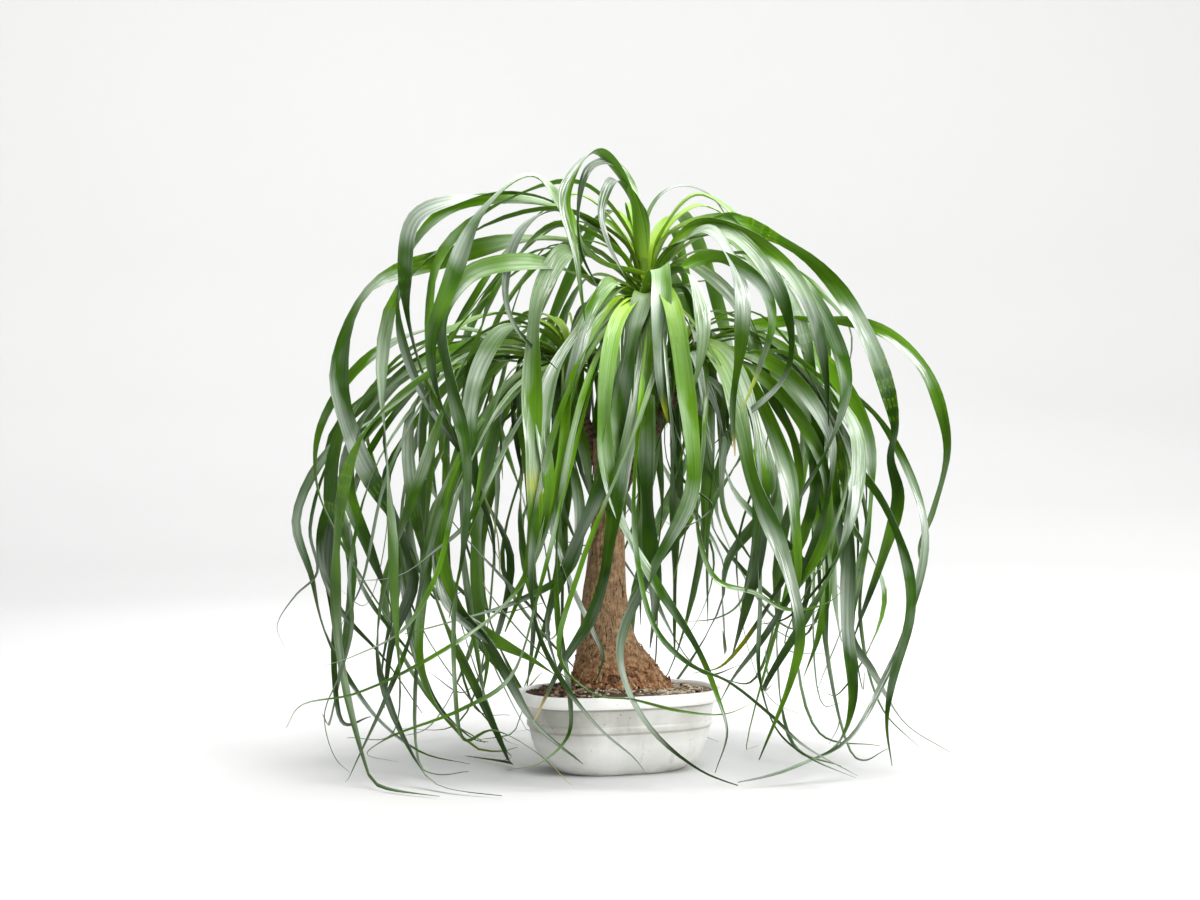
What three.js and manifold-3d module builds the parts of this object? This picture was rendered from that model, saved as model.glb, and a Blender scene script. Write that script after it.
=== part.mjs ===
// Ponytail palm growing in an oval plastic planter. Millimetres, +Z up.
// The origin is the centre of the pot's foot, on the surface that the pot stands on.
// The pot's long side is turned a little away from +X, and -Y is the plant's front.
import * as THREE from "three";
import { mergeVertices } from "three/addons/utils/BufferGeometryUtils.js";
import Module from "manifold-3d";

const wasm = await Module();
wasm.setup();
const { Manifold, Mesh: SolidMesh } = wasm;

// Gap that neighbouring pieces keep
const GAP = 0.3;

// Pot: a rounded oblong, turned about +Z
const POT_LENGTH = 206;
const POT_WIDTH = 134;
const POT_TURN = THREE.MathUtils.degToRad(18);
const POT_SQUARENESS = 2.6;
const POT_SECTORS = 40;
const FLOOR_THICKNESS = 3;
const DRAIN_RADIUS = 4;
const DRAIN_REACH = 34;
const DRAIN_COUNT = 4;

// Pot outline as [height, share of the rim's half size]: up the outside, over the rolled rim, down the inside
const POT_OUTSIDE = [
  [0, 0.6], [2, 0.65], [11, 0.755], [23, 0.83], [36, 0.868], [43, 0.882],
  [45, 0.902], [49, 0.904], [50.5, 0.892], [67.5, 0.922],
];
const POT_RIM = [[68.3, 0.988], [72, 1], [77, 0.998], [80, 0.978], [79.6, 0.952], [76, 0.93]];
const POT_INSIDE = [[48, 0.868], [30, 0.83], [18, 0.775], [8, 0.685], [FLOOR_THICKNESS, 0.6]];

// Soil: its level at the wall, the heap round the trunk with the shares of its height from right to left,
// the height of its lumps, and its inner rings as shares of its outline
const SOIL_LEVEL = 76;
const SOIL_HEAP = 10;
const HEAP_SPREAD = 14;
const HEAP_MIDDLE = 0.85;
const HEAP_TILT = 0.45;
const HEAP_SHARES = [0.4, 0.95];
const SOIL_LUMP = 1.4;
const SOIL_RINGS = [0.93, 0.84, 0.72, 0.58, 0.3];
const SOIL_WALL_GAP = 0.5;

// Trunk as [height, centre along X, radius]: a swollen base that leans left as it rises, to the cut stump
const TRUNK = [
  [30, 0, 40], [50, 0, 50], [70, 0, 52], [83, 0, 50], [94, -4, 45], [108, -7, 39], [128, -12, 29],
  [168, -15.5, 22.5], [208, -13.5, 18.5], [268, -12.5, 14.5], [310, -14.5, 12], [332, -16, 11],
];
const TRUNK_SIDES = 20;
const FLARE_TOP = 140;
const FLARE_SPAN = 60;
const FLARE_DEPTH = 0.075;
const STUMP_SLANT = 0.25;

// Branches as the points of their middle line with the radius at each
const LEADER = [[-9, 0, 264, 11], [7, 0, 300, 10], [20, 0, 345, 9], [25, 0, 395, 9], [25, 0, 455, 9]];
const LEFT_BRANCH = [
  [-13, 2, 290, 9], [-27, 6, 324, 8.5], [-41, 8, 355, 8], [-45, 8, 378, 8], [-45, 8, 392, 8],
];
const RIGHT_BRANCH = [
  [18, 0, 322, 8], [38, -3, 346, 8], [50, -4, 368, 7.5], [52, -4, 380, 7.5], [52, -4, 388, 7.5],
];
const BRANCH_SIDES = 9;
const BRANCH_STEPS = 7;

// Leaf heads: the point where each sits on its branch, its core's size, and the rule for its leaves.
// azimuth is the middle of the range that the leaves turn through and reach is half that range, in degrees
const HEADS = {
  top: {
    at: [25, 0, 455], coreHeight: 60, coreRadius: 15, leaves: 18, seed: 7, azimuth: 90, reach: 112,
    lift: [76, 36], up: [128, 32], out: [66, 106], beyond: [50, 150], drop: [60, 160], low: [-20, 230],
  },
  left: {
    at: [-45, 8, 392], coreHeight: 44, coreRadius: 13, leaves: 14, seed: 11, azimuth: 142, reach: 66,
    lift: [60, 10], up: [60, 10], out: [70, 98], beyond: [50, 150], drop: [50, 140], low: [-30, 165],
  },
  right: {
    at: [52, -4, 388], coreHeight: 44, coreRadius: 13, leaves: 14, seed: 31, azimuth: 38, reach: 66,
    lift: [60, 10], up: [60, 10], out: [70, 98], beyond: [50, 150], drop: [50, 140], low: [-30, 165],
  },
};

// The point in front of the plant that the marks of the hand-placed leaves are seen from
const VIEW_POINT = [-20, -1800, 318];

// The leaves that show singly, placed by hand: width, twist out of facing the front, share of the length
// from which the leaf tapers, then marks from the root on. Each mark's x and z are where it is seen in the
// plane y = 0 from the view point, and its y is its true depth.
const SHOWN_LEAVES = {
  top: [
    [15, 10, 0.5, [9, -30, 575], [-23, -60, 616], [-55, -85, 575], [-44, -98, 511], [-35, -100, 447]],
    [10, 10, 0.5, [22, -15, 560], [-5, -40, 604], [-30, -62, 600], [-41, -75, 560], [-38, -85, 515],
      [-22, -95, 480]],
    [11, 15, 0.5, [17, -20, 562], [-6, -45, 588], [-19, -60, 558], [-12, -70, 525], [6, -80, 490]],
    [17, 15, 0.6, [-28, -40, 510], [-60, -68, 565], [-89, -85, 592], [-137, -105, 556], [-168, -118, 491],
      [-189, -128, 425], [-182, -132, 375], [-165, -130, 330]],
    [16, 10, 0.5, [-30, -40, 488], [-90, -80, 506], [-150, -108, 494], [-177, -122, 450], [-168, -130, 385],
      [-154, -132, 310], [-157, -130, 215], [-171, -125, 150]],
    [10, 10, 0.5, [-28, -30, 515], [-60, -55, 557], [-98, -75, 538], [-115, -85, 478], [-104, -92, 440],
      [-62, -100, 398]],
    [19, 5, 0.6, [-30, -35, 485], [-53, -60, 516], [-80, -85, 470], [-87, -100, 401], [-88, -108, 308],
      [-85, -108, 248], [-98, -100, 180], [-115, -90, 136]],
    [15, 10, 0.6, [-10, -40, 480], [-35, -70, 446], [-68, -92, 393], [-78, -100, 340], [-71, -105, 281],
      [-79, -100, 233], [-95, -90, 190]],
    [13, -10, 0.6, [-6, -35, 486], [-24, -62, 470], [-44, -85, 407], [-55, -92, 345], [-45, -95, 300]],
    [18, -5, 0.5, [8, -32, 466], [-9, -58, 449], [-9, -80, 388], [-13, -95, 300], [-52, -95, 205],
      [-73, -90, 145], [-62, -85, 95]],
    [19, 0, 0.65, [24, -40, 474], [17, -62, 448], [8, -82, 400], [0, -94, 330], [5, -98, 250]],
    [19, 0, 0.6, [40, -38, 500], [42, -62, 480], [38, -84, 428], [40, -94, 385], [48, -95, 345]],
    [17, 10, 0.35, [38, -40, 482], [54, -78, 456], [69, -105, 348], [71, -110, 275], [37, -106, 205],
      [2, -102, 133], [2, -106, 95], [30, -125, 40], [80, -140, -2], [118, -145, -18]],
    [15, -10, 0.6, [50, -30, 494], [68, -58, 494], [83, -85, 447], [81, -95, 410], [70, -100, 370]],
    [15, 5, 0.6, [58, -20, 520], [88, -45, 538], [118, -75, 490], [122, -90, 430], [113, -98, 361],
      [115, -100, 312]],
    [16, 30, 0.7, [45, 0, 530], [100, 0, 548], [185, -8, 514], [240, -15, 445], [276, -25, 345],
      [272, -25, 310], [279, -25, 272], [262, -22, 210], [234, -18, 131]],
    [14, 30, 0.6, [55, -15, 522], [100, -35, 540], [148, -55, 497], [172, -70, 440], [166, -75, 392],
      [120, -80, 348], [95, -82, 325]],
    [17, 20, 0.6, [50, -10, 520], [95, -30, 543], [165, -50, 500], [192, -62, 455], [206, -72, 395],
      [209, -75, 342]],
    [14, -25, 0.65, [55, 0, 525], [110, -10, 538], [180, -25, 486], [216, -40, 428], [225, -50, 380],
      [208, -60, 322], [178, -65, 268], [165, -65, 240]],
    [12, 20, 0.5, [58, -30, 498], [100, -60, 512], [142, -85, 482], [152, -95, 448], [140, -100, 403],
      [121, -100, 355]],
    [18, 5, 0.6, [-2, -30, 480], [-28, -52, 458], [-46, -66, 410], [-47, -72, 365], [-36, -75, 318],
      [-28, -76, 262]],
    [14, 15, 0.6, [58, -10, 505], [112, -20, 470], [150, -30, 378], [174, -45, 330], [180, -50, 280],
      [172, -50, 230]],
    [15, -10, 0.4, [15, -40, 468], [-5, -75, 440], [-15, -95, 350], [-5, -102, 262], [29, -105, 195],
      [76, -110, 123], [98, -112, 70], [107, -118, 35], [95, -125, -5]],
    [16, 5, 0.75, [30, -36, 466], [30, -58, 448], [27, -75, 388], [27, -80, 308], [31, -80, 228],
      [35, -78, 170], [30, -75, 120]],
    [18, 10, 0.7, [-30, 0, 520], [-90, -2, 528], [-172, -10, 511], [-250, -25, 478], [-281, -40, 392],
      [-262, -48, 315], [-222, -56, 245], [-206, -60, 190], [-228, -62, 128], [-236, -60, 60]],
    [14, 30, 0.6, [-20, -5, 535], [-82, -20, 571], [-150, -35, 570], [-205, -50, 550], [-214, -60, 480],
      [-200, -68, 405], [-172, -75, 345], [-140, -80, 290]],
    [11, 25, 0.5, [-20, 0, 540], [-100, -15, 568], [-170, -30, 560], [-213, -45, 510], [-221, -55, 450],
      [-200, -65, 378], [-152, -75, 305], [-124, -80, 240], [-120, -80, 195]],
    [10, 15, 0.3, [0, -45, 470], [-45, -88, 400], [-60, -98, 300], [-90, -102, 200], [-123, -104, 155],
      [-197, -106, 106], [-266, -105, 74], [-320, -100, 62], [-334, -98, 40]],
    [11, -15, 0.65, [8, -40, 468], [-25, -70, 440], [-60, -85, 340], [-66, -90, 250], [-52, -92, 190],
      [-27, -94, 136], [-17, -94, 112], [-25, -92, 84]],
    [16, 10, 0.6, [28, -40, 468], [24, -82, 400], [2, -100, 300], [-8, -108, 235], [-15, -110, 190],
      [-29, -112, 150], [-57, -112, 106], [-86, -112, 47]],
  ],
  left: [
    [11, 25, 0.35, [-92, 5, 420], [-177, 0, 440], [-254, -10, 408], [-299, -20, 342], [-303, -28, 285],
      [-285, -35, 238], [-252, -42, 180], [-225, -45, 140]],
    [9, 20, 0.5, [-90, 15, 405], [-168, 12, 405], [-238, 8, 353], [-290, 0, 318], [-324, -8, 250],
      [-308, -14, 192], [-296, -20, 140], [-266, -28, 81], [-237, -40, 44], [-197, -50, 15], [-150, -55, 4]],
    [12, 30, 0.7, [-90, 18, 415], [-140, 25, 425], [-210, 30, 400], [-262, 28, 330], [-285, 25, 260],
      [-293, 22, 205], [-288, 18, 160], [-284, 15, 115]],
    [14, 25, 0.7, [-88, -5, 422], [-160, -20, 418], [-213, -30, 394], [-263, -40, 337], [-273, -45, 281],
      [-250, -48, 218], [-230, -50, 165], [-228, -50, 135]],
    [16, 10, 0.6, [-72, -25, 432], [-112, -50, 440], [-141, -70, 401], [-152, -85, 345], [-143, -92, 285],
      [-128, -95, 240], [-125, -95, 200]],
    [11, 20, 0.4, [-52, -35, 402], [-50, -72, 330], [-40, -88, 250], [-50, -93, 200], [-99, -96, 168],
      [-173, -96, 145], [-215, -92, 134]],
    [10, 15, 0.65, [-72, -30, 405], [-120, -60, 368], [-175, -75, 280], [-195, -80, 190], [-200, -80, 110],
      [-178, -80, 55], [-135, -80, 25]],
    [15, -10, 0.65, [-80, 30, 410], [-115, 35, 365], [-138, 35, 280], [-143, 30, 200], [-140, 28, 150],
      [-133, 26, 110], [-137, 26, 74]],
    [14, 0, 0.8, [-76, -30, 402], [-140, -70, 340], [-178, -85, 240], [-175, -92, 170], [-140, -95, 137],
      [-90, -97, 110], [-66, -97, 94]],
    [8, 10, 0.6, [-90, 20, 410], [-180, 25, 400], [-262, 25, 320], [-300, 20, 230], [-286, 15, 168],
      [-236, 10, 110], [-198, 8, 55]],
    [11, 10, 0.7, [-70, -25, 405], [-110, -60, 385], [-150, -80, 320], [-180, -90, 240], [-165, -95, 170],
      [-134, -98, 130], [-112, -102, 90], [-86, -108, 45], [-37, -116, 4]],
  ],
  right: [
    [12, 25, 0.7, [95, 0, 430], [180, 0, 449], [256, -2, 440], [300, -5, 404], [322, -8, 356],
      [328, -10, 315], [313, -12, 256], [299, -12, 219], [302, -12, 200]],
    [8, 20, 0.65, [95, 0, 418], [200, 0, 390], [252, -5, 358], [287, -12, 300], [305, -20, 235],
      [292, -35, 158], [262, -60, 84], [225, -88, 26], [150, -105, -8]],
    [15, 30, 0.55, [90, -10, 428], [150, -20, 425], [200, -30, 370], [228, -40, 270], [227, -50, 143],
      [233, -65, 65], [218, -75, 24], [177, -90, 2], [118, -112, -18]],
    [16, -25, 0.5, [90, 5, 435], [170, 0, 430], [225, -5, 380], [249, -8, 313], [247, -10, 240],
      [230, -18, 135], [251, -25, 99], [285, -36, 45], [330, -48, 16]],
    [10, 20, 0.75, [88, -10, 420], [150, -20, 398], [214, -30, 323], [260, -40, 272], [287, -50, 205],
      [290, -55, 155], [272, -65, 85], [267, -75, 44], [272, -85, 2]],
    [14, -20, 0.5, [86, -20, 418], [160, -35, 400], [208, -50, 335], [210, -55, 285], [195, -60, 230],
      [180, -60, 190], [172, -58, 150]],
    [15, 15, 0.65, [88, 10, 415], [150, 12, 400], [190, 8, 330], [200, 2, 240], [207, -3, 190],
      [198, -6, 130], [184, -8, 92]],
    [16, 10, 0.6, [84, -28, 412], [128, -50, 388], [165, -75, 305], [175, -80, 240], [178, -80, 190],
      [172, -78, 150]],
    [17, 10, 0.5, [80, -30, 420], [104, -68, 396], [123, -98, 338], [133, -112, 291], [165, -120, 205],
      [180, -120, 135], [172, -120, 90], [139, -115, 8]],
    [16, -10, 0.7, [82, -20, 425], [112, -55, 404], [133, -80, 352], [140, -85, 300], [140, -88, 225],
      [128, -85, 170], [111, -80, 108]],
    [12, 5, 0.6, [88, -20, 412], [150, -40, 385], [200, -50, 310], [205, -54, 235], [170, -58, 171],
      [140, -62, 125], [113, -68, 90], [100, -74, 66]],
  ],
};

// Leaf blade
const STEPS_PER_MARK = 2;
const ROOT_OUT = 6;
const ROOT_LOW = 9;
const ROOT_TOP_SHARE = 0.75;
const FIRST_REACH = 42;
const LEAF_WIDTHS = [6, 14];
const BASE_SPAN = 0.2;
const BASE_SHARE = 0.7;
const TIP_SHARE = 0.06;
const TAPER_BEND = 0.6;
const RULED_TAPER = 0.55;
const LEAF_TWISTS = [-150, 150];
const LEAST_HALF_WIDTH = 0.5;
const TWIST_START = 0.05;
const TWIST_END = 0.55;
const FACING_END = 0.3;
const FACING_SHARE = 0.5;
const KEEL_SHARE = 0.09;
const KEEL_LEAST = 1;
const FLOOR_CLEARANCE = 2;
const FLOOR_SOFTNESS = 10;

// A leaf that would cross another head is turned in steps until it is clear, or left out
const TURN_STEP = 2;
const TURN_TRIES = 14;
const CLEARANCE = 0.5;

const GOLDEN_TURN = 0.5698402910;
const GOLDEN_AGE = 0.7548776662;

// A seeded draw between two values
function drawFrom(seed) {
  let state = seed;
  return (low, high) => {
    state = (Math.imul(state, 1664525) + 1013904223) >>> 0;
    return low + ((high - low) * state) / 2 ** 32;
  };
}

function mix(pair, share) {
  return pair[0] + (pair[1] - pair[0]) * share;
}

// Skin through rings of points with flat ends. Each quad is split along the fold that stands outward.
function loft(rings) {
  const count = rings[0].length;
  const positions = rings.flat().flatMap((point) => [point.x, point.y, point.z]);
  const indices = [];
  const edgeA = new THREE.Vector3();
  const edgeB = new THREE.Vector3();
  const edgeC = new THREE.Vector3();
  for (let ring = 0; ring + 1 < rings.length; ring += 1) {
    for (let side = 0; side < count; side += 1) {
      const next = (side + 1) % count;
      const corners = [[ring, side], [ring, next], [ring + 1, next], [ring + 1, side]];
      const [p, q, r, s] = corners.map(([row, column]) => rings[row][column]);
      const [a, b, c, d] = corners.map(([row, column]) => row * count + column);
      edgeA.subVectors(q, p);
      edgeB.subVectors(r, p);
      edgeC.subVectors(s, p);
      if (edgeA.cross(edgeB).dot(edgeC) > 0) {
        indices.push(a, b, d, b, c, d);
      } else {
        indices.push(a, b, c, a, c, d);
      }
    }
  }
  const last = (rings.length - 1) * count;
  for (let side = 1; side + 1 < count; side += 1) {
    indices.push(0, side + 1, side);
    indices.push(last, last + side, last + side + 1);
  }
  const geometry = new THREE.BufferGeometry();
  geometry.setAttribute("position", new THREE.Float32BufferAttribute(positions, 3));
  geometry.setIndex(indices);
  return geometry;
}

// Closed geometry to a solid, with its shared points merged
function solidFrom(geometry) {
  const bare = geometry.clone();
  bare.deleteAttribute("normal");
  bare.deleteAttribute("uv");
  const merged = mergeVertices(bare, 1e-4);
  return new Manifold(new SolidMesh({
    numProp: 3,
    vertProperties: new Float32Array(merged.attributes.position.array),
    triVerts: new Uint32Array(merged.index.array),
  }));
}

// The largest body of a solid: loose scraps are dropped, and hollows that the joins sealed are filled
function largestBody(solid) {
  const bodies = solid.decompose();
  return bodies.reduce((best, body) => (body.volume() > best.volume() ? body : best));
}

function geometryFrom(solid) {
  const mesh = solid.getMesh();
  const geometry = new THREE.BufferGeometry();
  geometry.setAttribute("position", new THREE.Float32BufferAttribute(mesh.vertProperties, 3));
  geometry.setIndex(new THREE.Uint32BufferAttribute(mesh.triVerts, 1));
  return geometry;
}

function pieceMesh(name, solid, color, roughness) {
  const geometry = geometryFrom(solid);
  geometry.computeVertexNormals();
  const mesh = new THREE.Mesh(geometry, new THREE.MeshStandardMaterial({ color, roughness, metalness: 0 }));
  mesh.name = name;
  return mesh;
}

// One level of the pot's rounded oblong outline
function potRing(height, share, inset = 0) {
  const power = 2 / POT_SQUARENESS;
  return Array.from({ length: POT_SECTORS }, (_, sector) => {
    const turn = (2 * Math.PI * sector) / POT_SECTORS;
    const along = Math.sign(Math.cos(turn)) * Math.abs(Math.cos(turn)) ** power;
    const across = Math.sign(Math.sin(turn)) * Math.abs(Math.sin(turn)) ** power;
    const point = new THREE.Vector3(
      ((POT_LENGTH / 2) * share - inset) * along,
      ((POT_WIDTH / 2) * share - inset) * across,
      height,
    );
    return point.applyAxisAngle(new THREE.Vector3(0, 0, 1), POT_TURN);
  });
}

// Upright round peg, used to cut a drain hole
function peg(x, y, radius, low, high) {
  const geometry = new THREE.CylinderGeometry(radius, radius, high - low, 16);
  geometry.rotateX(Math.PI / 2);
  geometry.translate(x, y, (low + high) / 2);
  return solidFrom(geometry);
}

function potSolid() {
  const profile = [...POT_OUTSIDE, ...POT_RIM, ...POT_INSIDE];
  let pot = solidFrom(loft(profile.map(([height, share]) => potRing(height, share))));
  for (let hole = 0; hole < DRAIN_COUNT; hole += 1) {
    const turn = POT_TURN + ((hole + 0.5) * 2 * Math.PI) / DRAIN_COUNT;
    const x = DRAIN_REACH * Math.cos(turn);
    const y = DRAIN_REACH * Math.sin(turn);
    pot = pot.subtract(peg(x, y, DRAIN_RADIUS, -1, FLOOR_THICKNESS + 1));
  }
  return pot;
}

// Share of the pot's rim size that its inside has at a height
function insideShare(height) {
  const levels = [...POT_RIM.slice(-1), ...POT_INSIDE];
  const upper = levels.findLastIndex(([level]) => level >= height);
  const [high, wide] = levels[upper];
  const [low, narrow] = levels[Math.min(upper + 1, levels.length - 1)];
  return high === low ? wide : narrow + ((wide - narrow) * (height - low)) / (high - low);
}

// Height of the soil's surface: its level, its heap round the trunk and its lumps
function soilHeight(x, y) {
  const foot = TRUNK[2][2];
  const away = Math.max(Math.hypot(x, y) - foot, 0);
  const side = THREE.MathUtils.clamp(HEAP_MIDDLE - (HEAP_TILT * x) / foot, ...HEAP_SHARES);
  const lump = 0.6 * Math.sin(x / 7.3 + 1) * Math.cos(y / 6.1) + 0.4 * Math.sin((x + y) / 3.9 + 2);
  return SOIL_LEVEL + SOIL_HEAP * side * Math.exp(-away / HEAP_SPREAD) + SOIL_LUMP * lump;
}

function soilSolid(trunkHole) {
  const levels = [FLOOR_THICKNESS + GAP, 8, 18, 30, 48, SOIL_LEVEL - SOIL_LUMP];
  const rings = levels.map((height) => potRing(height, insideShare(height), SOIL_WALL_GAP));
  const edge = potRing(0, insideShare(SOIL_LEVEL), SOIL_WALL_GAP);
  for (const share of SOIL_RINGS) {
    rings.push(edge.map((point) => {
      const x = point.x * share;
      const y = point.y * share;
      return new THREE.Vector3(x, y, soilHeight(x, y));
    }));
  }
  return solidFrom(loft(rings)).subtract(trunkHole);
}

// One ring of the trunk. Low down it swells into blunt root flares; grow widens it all round.
function trunkRing([height, middle, radius], grow = 0, slant = 0) {
  const flare = FLARE_DEPTH * THREE.MathUtils.clamp((FLARE_TOP - height) / FLARE_SPAN, 0, 1);
  return Array.from({ length: TRUNK_SIDES }, (_, side) => {
    const turn = (2 * Math.PI * side) / TRUNK_SIDES;
    const swell = 1 + flare * (0.6 * Math.cos(3 * turn - 0.3) + 0.4 * Math.cos(5 * turn + 1.2));
    const reach = radius * swell + grow;
    return new THREE.Vector3(
      middle + reach * Math.cos(turn),
      reach * Math.sin(turn),
      height + slant * reach * Math.cos(turn),
    );
  });
}

// Round limb along a curve through its points, each [x, y, z, radius]
function limbSolid(marks) {
  const points = marks.map(([x, y, z]) => new THREE.Vector3(x, y, z));
  const line = new THREE.CatmullRomCurve3(points, false, "centripetal");
  const frames = line.computeFrenetFrames(BRANCH_STEPS, false);
  const rings = Array.from({ length: BRANCH_STEPS + 1 }, (_, step) => {
    const place = (step / BRANCH_STEPS) * (marks.length - 1);
    const mark = Math.min(Math.floor(place), marks.length - 2);
    const radius = mix([marks[mark][3], marks[mark + 1][3]], place - mark);
    const centre = line.getPoint(step / BRANCH_STEPS);
    return Array.from({ length: BRANCH_SIDES }, (__, side) => {
      const turn = (2 * Math.PI * side) / BRANCH_SIDES;
      const level = step === BRANCH_STEPS;
      const sideways = level ? new THREE.Vector3(1, 0, 0) : frames.normals[step];
      const forward = level ? new THREE.Vector3(0, 1, 0) : frames.binormals[step];
      return centre.clone()
        .addScaledVector(sideways, radius * Math.cos(turn))
        .addScaledVector(forward, radius * Math.sin(turn));
    });
  });
  return solidFrom(loft(rings));
}

function trunkSolid() {
  const top = TRUNK.length - 1;
  const rings = TRUNK.map((level, index) => trunkRing(level, 0, index === top ? STUMP_SLANT : 0));
  const stem = solidFrom(loft(rings));
  return Manifold.union([stem, limbSolid(LEADER), limbSolid(LEFT_BRANCH), limbSolid(RIGHT_BRANCH)]);
}

// The plain hole that the trunk's base stands in
function trunkHoleSolid() {
  const [lowest] = TRUNK;
  const swollen = TRUNK.filter(([height]) => height < FLARE_TOP);
  const levels = [[lowest[0] - GAP, lowest[1], lowest[2]], ...swollen];
  return solidFrom(loft(levels.map((level) => trunkRing(level, GAP))));
}

// The leafy cone that a head's leaves stand out of
function coreSolid({ at, coreHeight, coreRadius }) {
  const outline = [[0, 0], [0.7, 0], [1, 0.15], [1, 0.5], [0.8, 0.8], [0.5, 0.97], [0, 1]];
  const points = outline.map(([share, rise]) => new THREE.Vector2(share * coreRadius, rise * coreHeight));
  const geometry = new THREE.LatheGeometry(points, 12);
  geometry.rotateX(Math.PI / 2);
  geometry.translate(at[0], at[1], at[2] + GAP);
  return solidFrom(geometry);
}

// The place of a mark that is seen at x and z of the plane y = 0 and lies at depth y
function seenPlace([x, y, z]) {
  const share = 1 - y / VIEW_POINT[1];
  return new THREE.Vector3(
    VIEW_POINT[0] + (x - VIEW_POINT[0]) * share,
    y,
    VIEW_POINT[2] + (z - VIEW_POINT[2]) * share,
  );
}

function shownLeaves(name) {
  return SHOWN_LEAVES[name].map(([width, twist, taper, ...marks]) => (
    { width, twist, taper, facesFront: true, places: marks.map(seenPlace) }
  ));
}

// Height at which a leaf leaves the head's core, higher for the leaves that rise higher
function rootHeight(head, top) {
  const base = head.at[2];
  return base + THREE.MathUtils.clamp((top - base) * 0.3, ROOT_LOW, head.coreHeight * ROOT_TOP_SHARE);
}

// Leaves of a head by rule: the youngest rise high in the middle, the oldest spread low and hang far out
function ruledLeaves(name) {
  const head = HEADS[name];
  const draw = drawFrom(head.seed);
  const [x, y, z] = head.at;
  return Array.from({ length: head.leaves }, (_, index) => {
    const age = ((index + 1) * GOLDEN_AGE) % 1;
    const turn = ((index + 1) * GOLDEN_TURN) % 1;
    const azimuth = THREE.MathUtils.degToRad(head.azimuth + head.reach * (2 * turn - 1) + draw(-7, 7));
    const lift = THREE.MathUtils.degToRad(mix(head.lift, age) + draw(-7, 7));
    const top = z + mix(head.up, age) + draw(-12, 14);
    const out = mix(head.out, age) + draw(-15, 24);
    const far = out + draw(...head.beyond);
    const hang = top - draw(...head.drop);
    const low = draw(...head.low);
    const knee = far + draw(-8, 22);
    const end = far + draw(-110, 40);
    const kneeHeight = mix([hang, low], draw(0.42, 0.6));
    const bend = draw(-1, 1) > 0 ? 1 : -1;
    const hangSide = bend * draw(-25, 5);
    const kneeSide = bend * draw(15, 75);
    const endSide = kneeSide - bend * draw(20, 110);
    const tip = end + draw(-50, 40);
    const tipHeight = low + draw(-30, 30);
    const tipSide = endSide - bend * draw(5, 70);
    const root = rootHeight(head, top);
    const first = root + Math.min(FIRST_REACH * Math.sin(lift), Math.max((top - root) * 0.72, 0));
    const marks = [
      [ROOT_OUT + FIRST_REACH * Math.cos(lift), first, 0], [out, top, 0], [far, hang, hangSide],
      [knee, kneeHeight, kneeSide], [end, low, endSide], [tip, tipHeight, tipSide],
    ];
    const places = marks.map(([reach, height, side]) => new THREE.Vector3(
      x + reach * Math.cos(azimuth) - side * Math.sin(azimuth),
      y + reach * Math.sin(azimuth) + side * Math.cos(azimuth),
      height,
    ));
    const width = draw(...LEAF_WIDTHS);
    return { width, twist: draw(...LEAF_TWISTS), taper: RULED_TAPER, facesFront: false, places };
  });
}

// Half of a leaf's width at a share of its length
function halfWidth({ width, taper }, along) {
  const base = THREE.MathUtils.clamp(along / BASE_SPAN, 0, 1);
  const end = THREE.MathUtils.clamp((along - taper) / (1 - taper), 0, 1);
  const share = mix([BASE_SHARE, 1], base * (2 - base)) * (1 - end ** (TAPER_BEND + taper)) + TIP_SHARE;
  return (width / 2) * share;
}

// Share of a line's length at each of its points
function sharesAlong(line) {
  let length = 0;
  const lengths = line.map((point, step) => {
    length += step ? point.distanceTo(line[step - 1]) : 0;
    return length;
  });
  return lengths.map((value) => value / length);
}

// The part of a vector that is square to a direction, at length 1
function squareTo(direction, vector) {
  return vector.clone().addScaledVector(direction, -vector.dot(direction)).normalize();
}

// Middle line of a leaf from its root inside the core to its tip, turned about the head by some degrees
function leafLine(head, leaf, turn) {
  const [x, y] = head.at;
  const { places } = leaf;
  const heading = Math.atan2(places[0].y - y, places[0].x - x);
  const top = Math.max(...places.map((place) => place.z));
  const root = new THREE.Vector3(
    x + ROOT_OUT * Math.cos(heading),
    y + ROOT_OUT * Math.sin(heading),
    rootHeight(head, top),
  );
  const centre = new THREE.Vector3(x, y, 0);
  const upright = new THREE.Vector3(0, 0, 1);
  const marks = [root, ...places].map((place) => (
    place.clone().sub(centre).applyAxisAngle(upright, THREE.MathUtils.degToRad(turn)).add(centre)
  ));
  const curve = new THREE.CatmullRomCurve3(marks, false, "centripetal");
  const line = curve.getPoints(STEPS_PER_MARK * places.length);
  const shares = sharesAlong(line);
  line.forEach((point, step) => {
    const floor = FLOOR_CLEARANCE + FLOOR_SOFTNESS + halfWidth(leaf, shares[step]);
    if (point.z < floor) {
      point.z = floor - FLOOR_SOFTNESS + FLOOR_SOFTNESS * Math.exp((point.z - floor) / FLOOR_SOFTNESS);
    }
  });
  return line;
}

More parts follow.
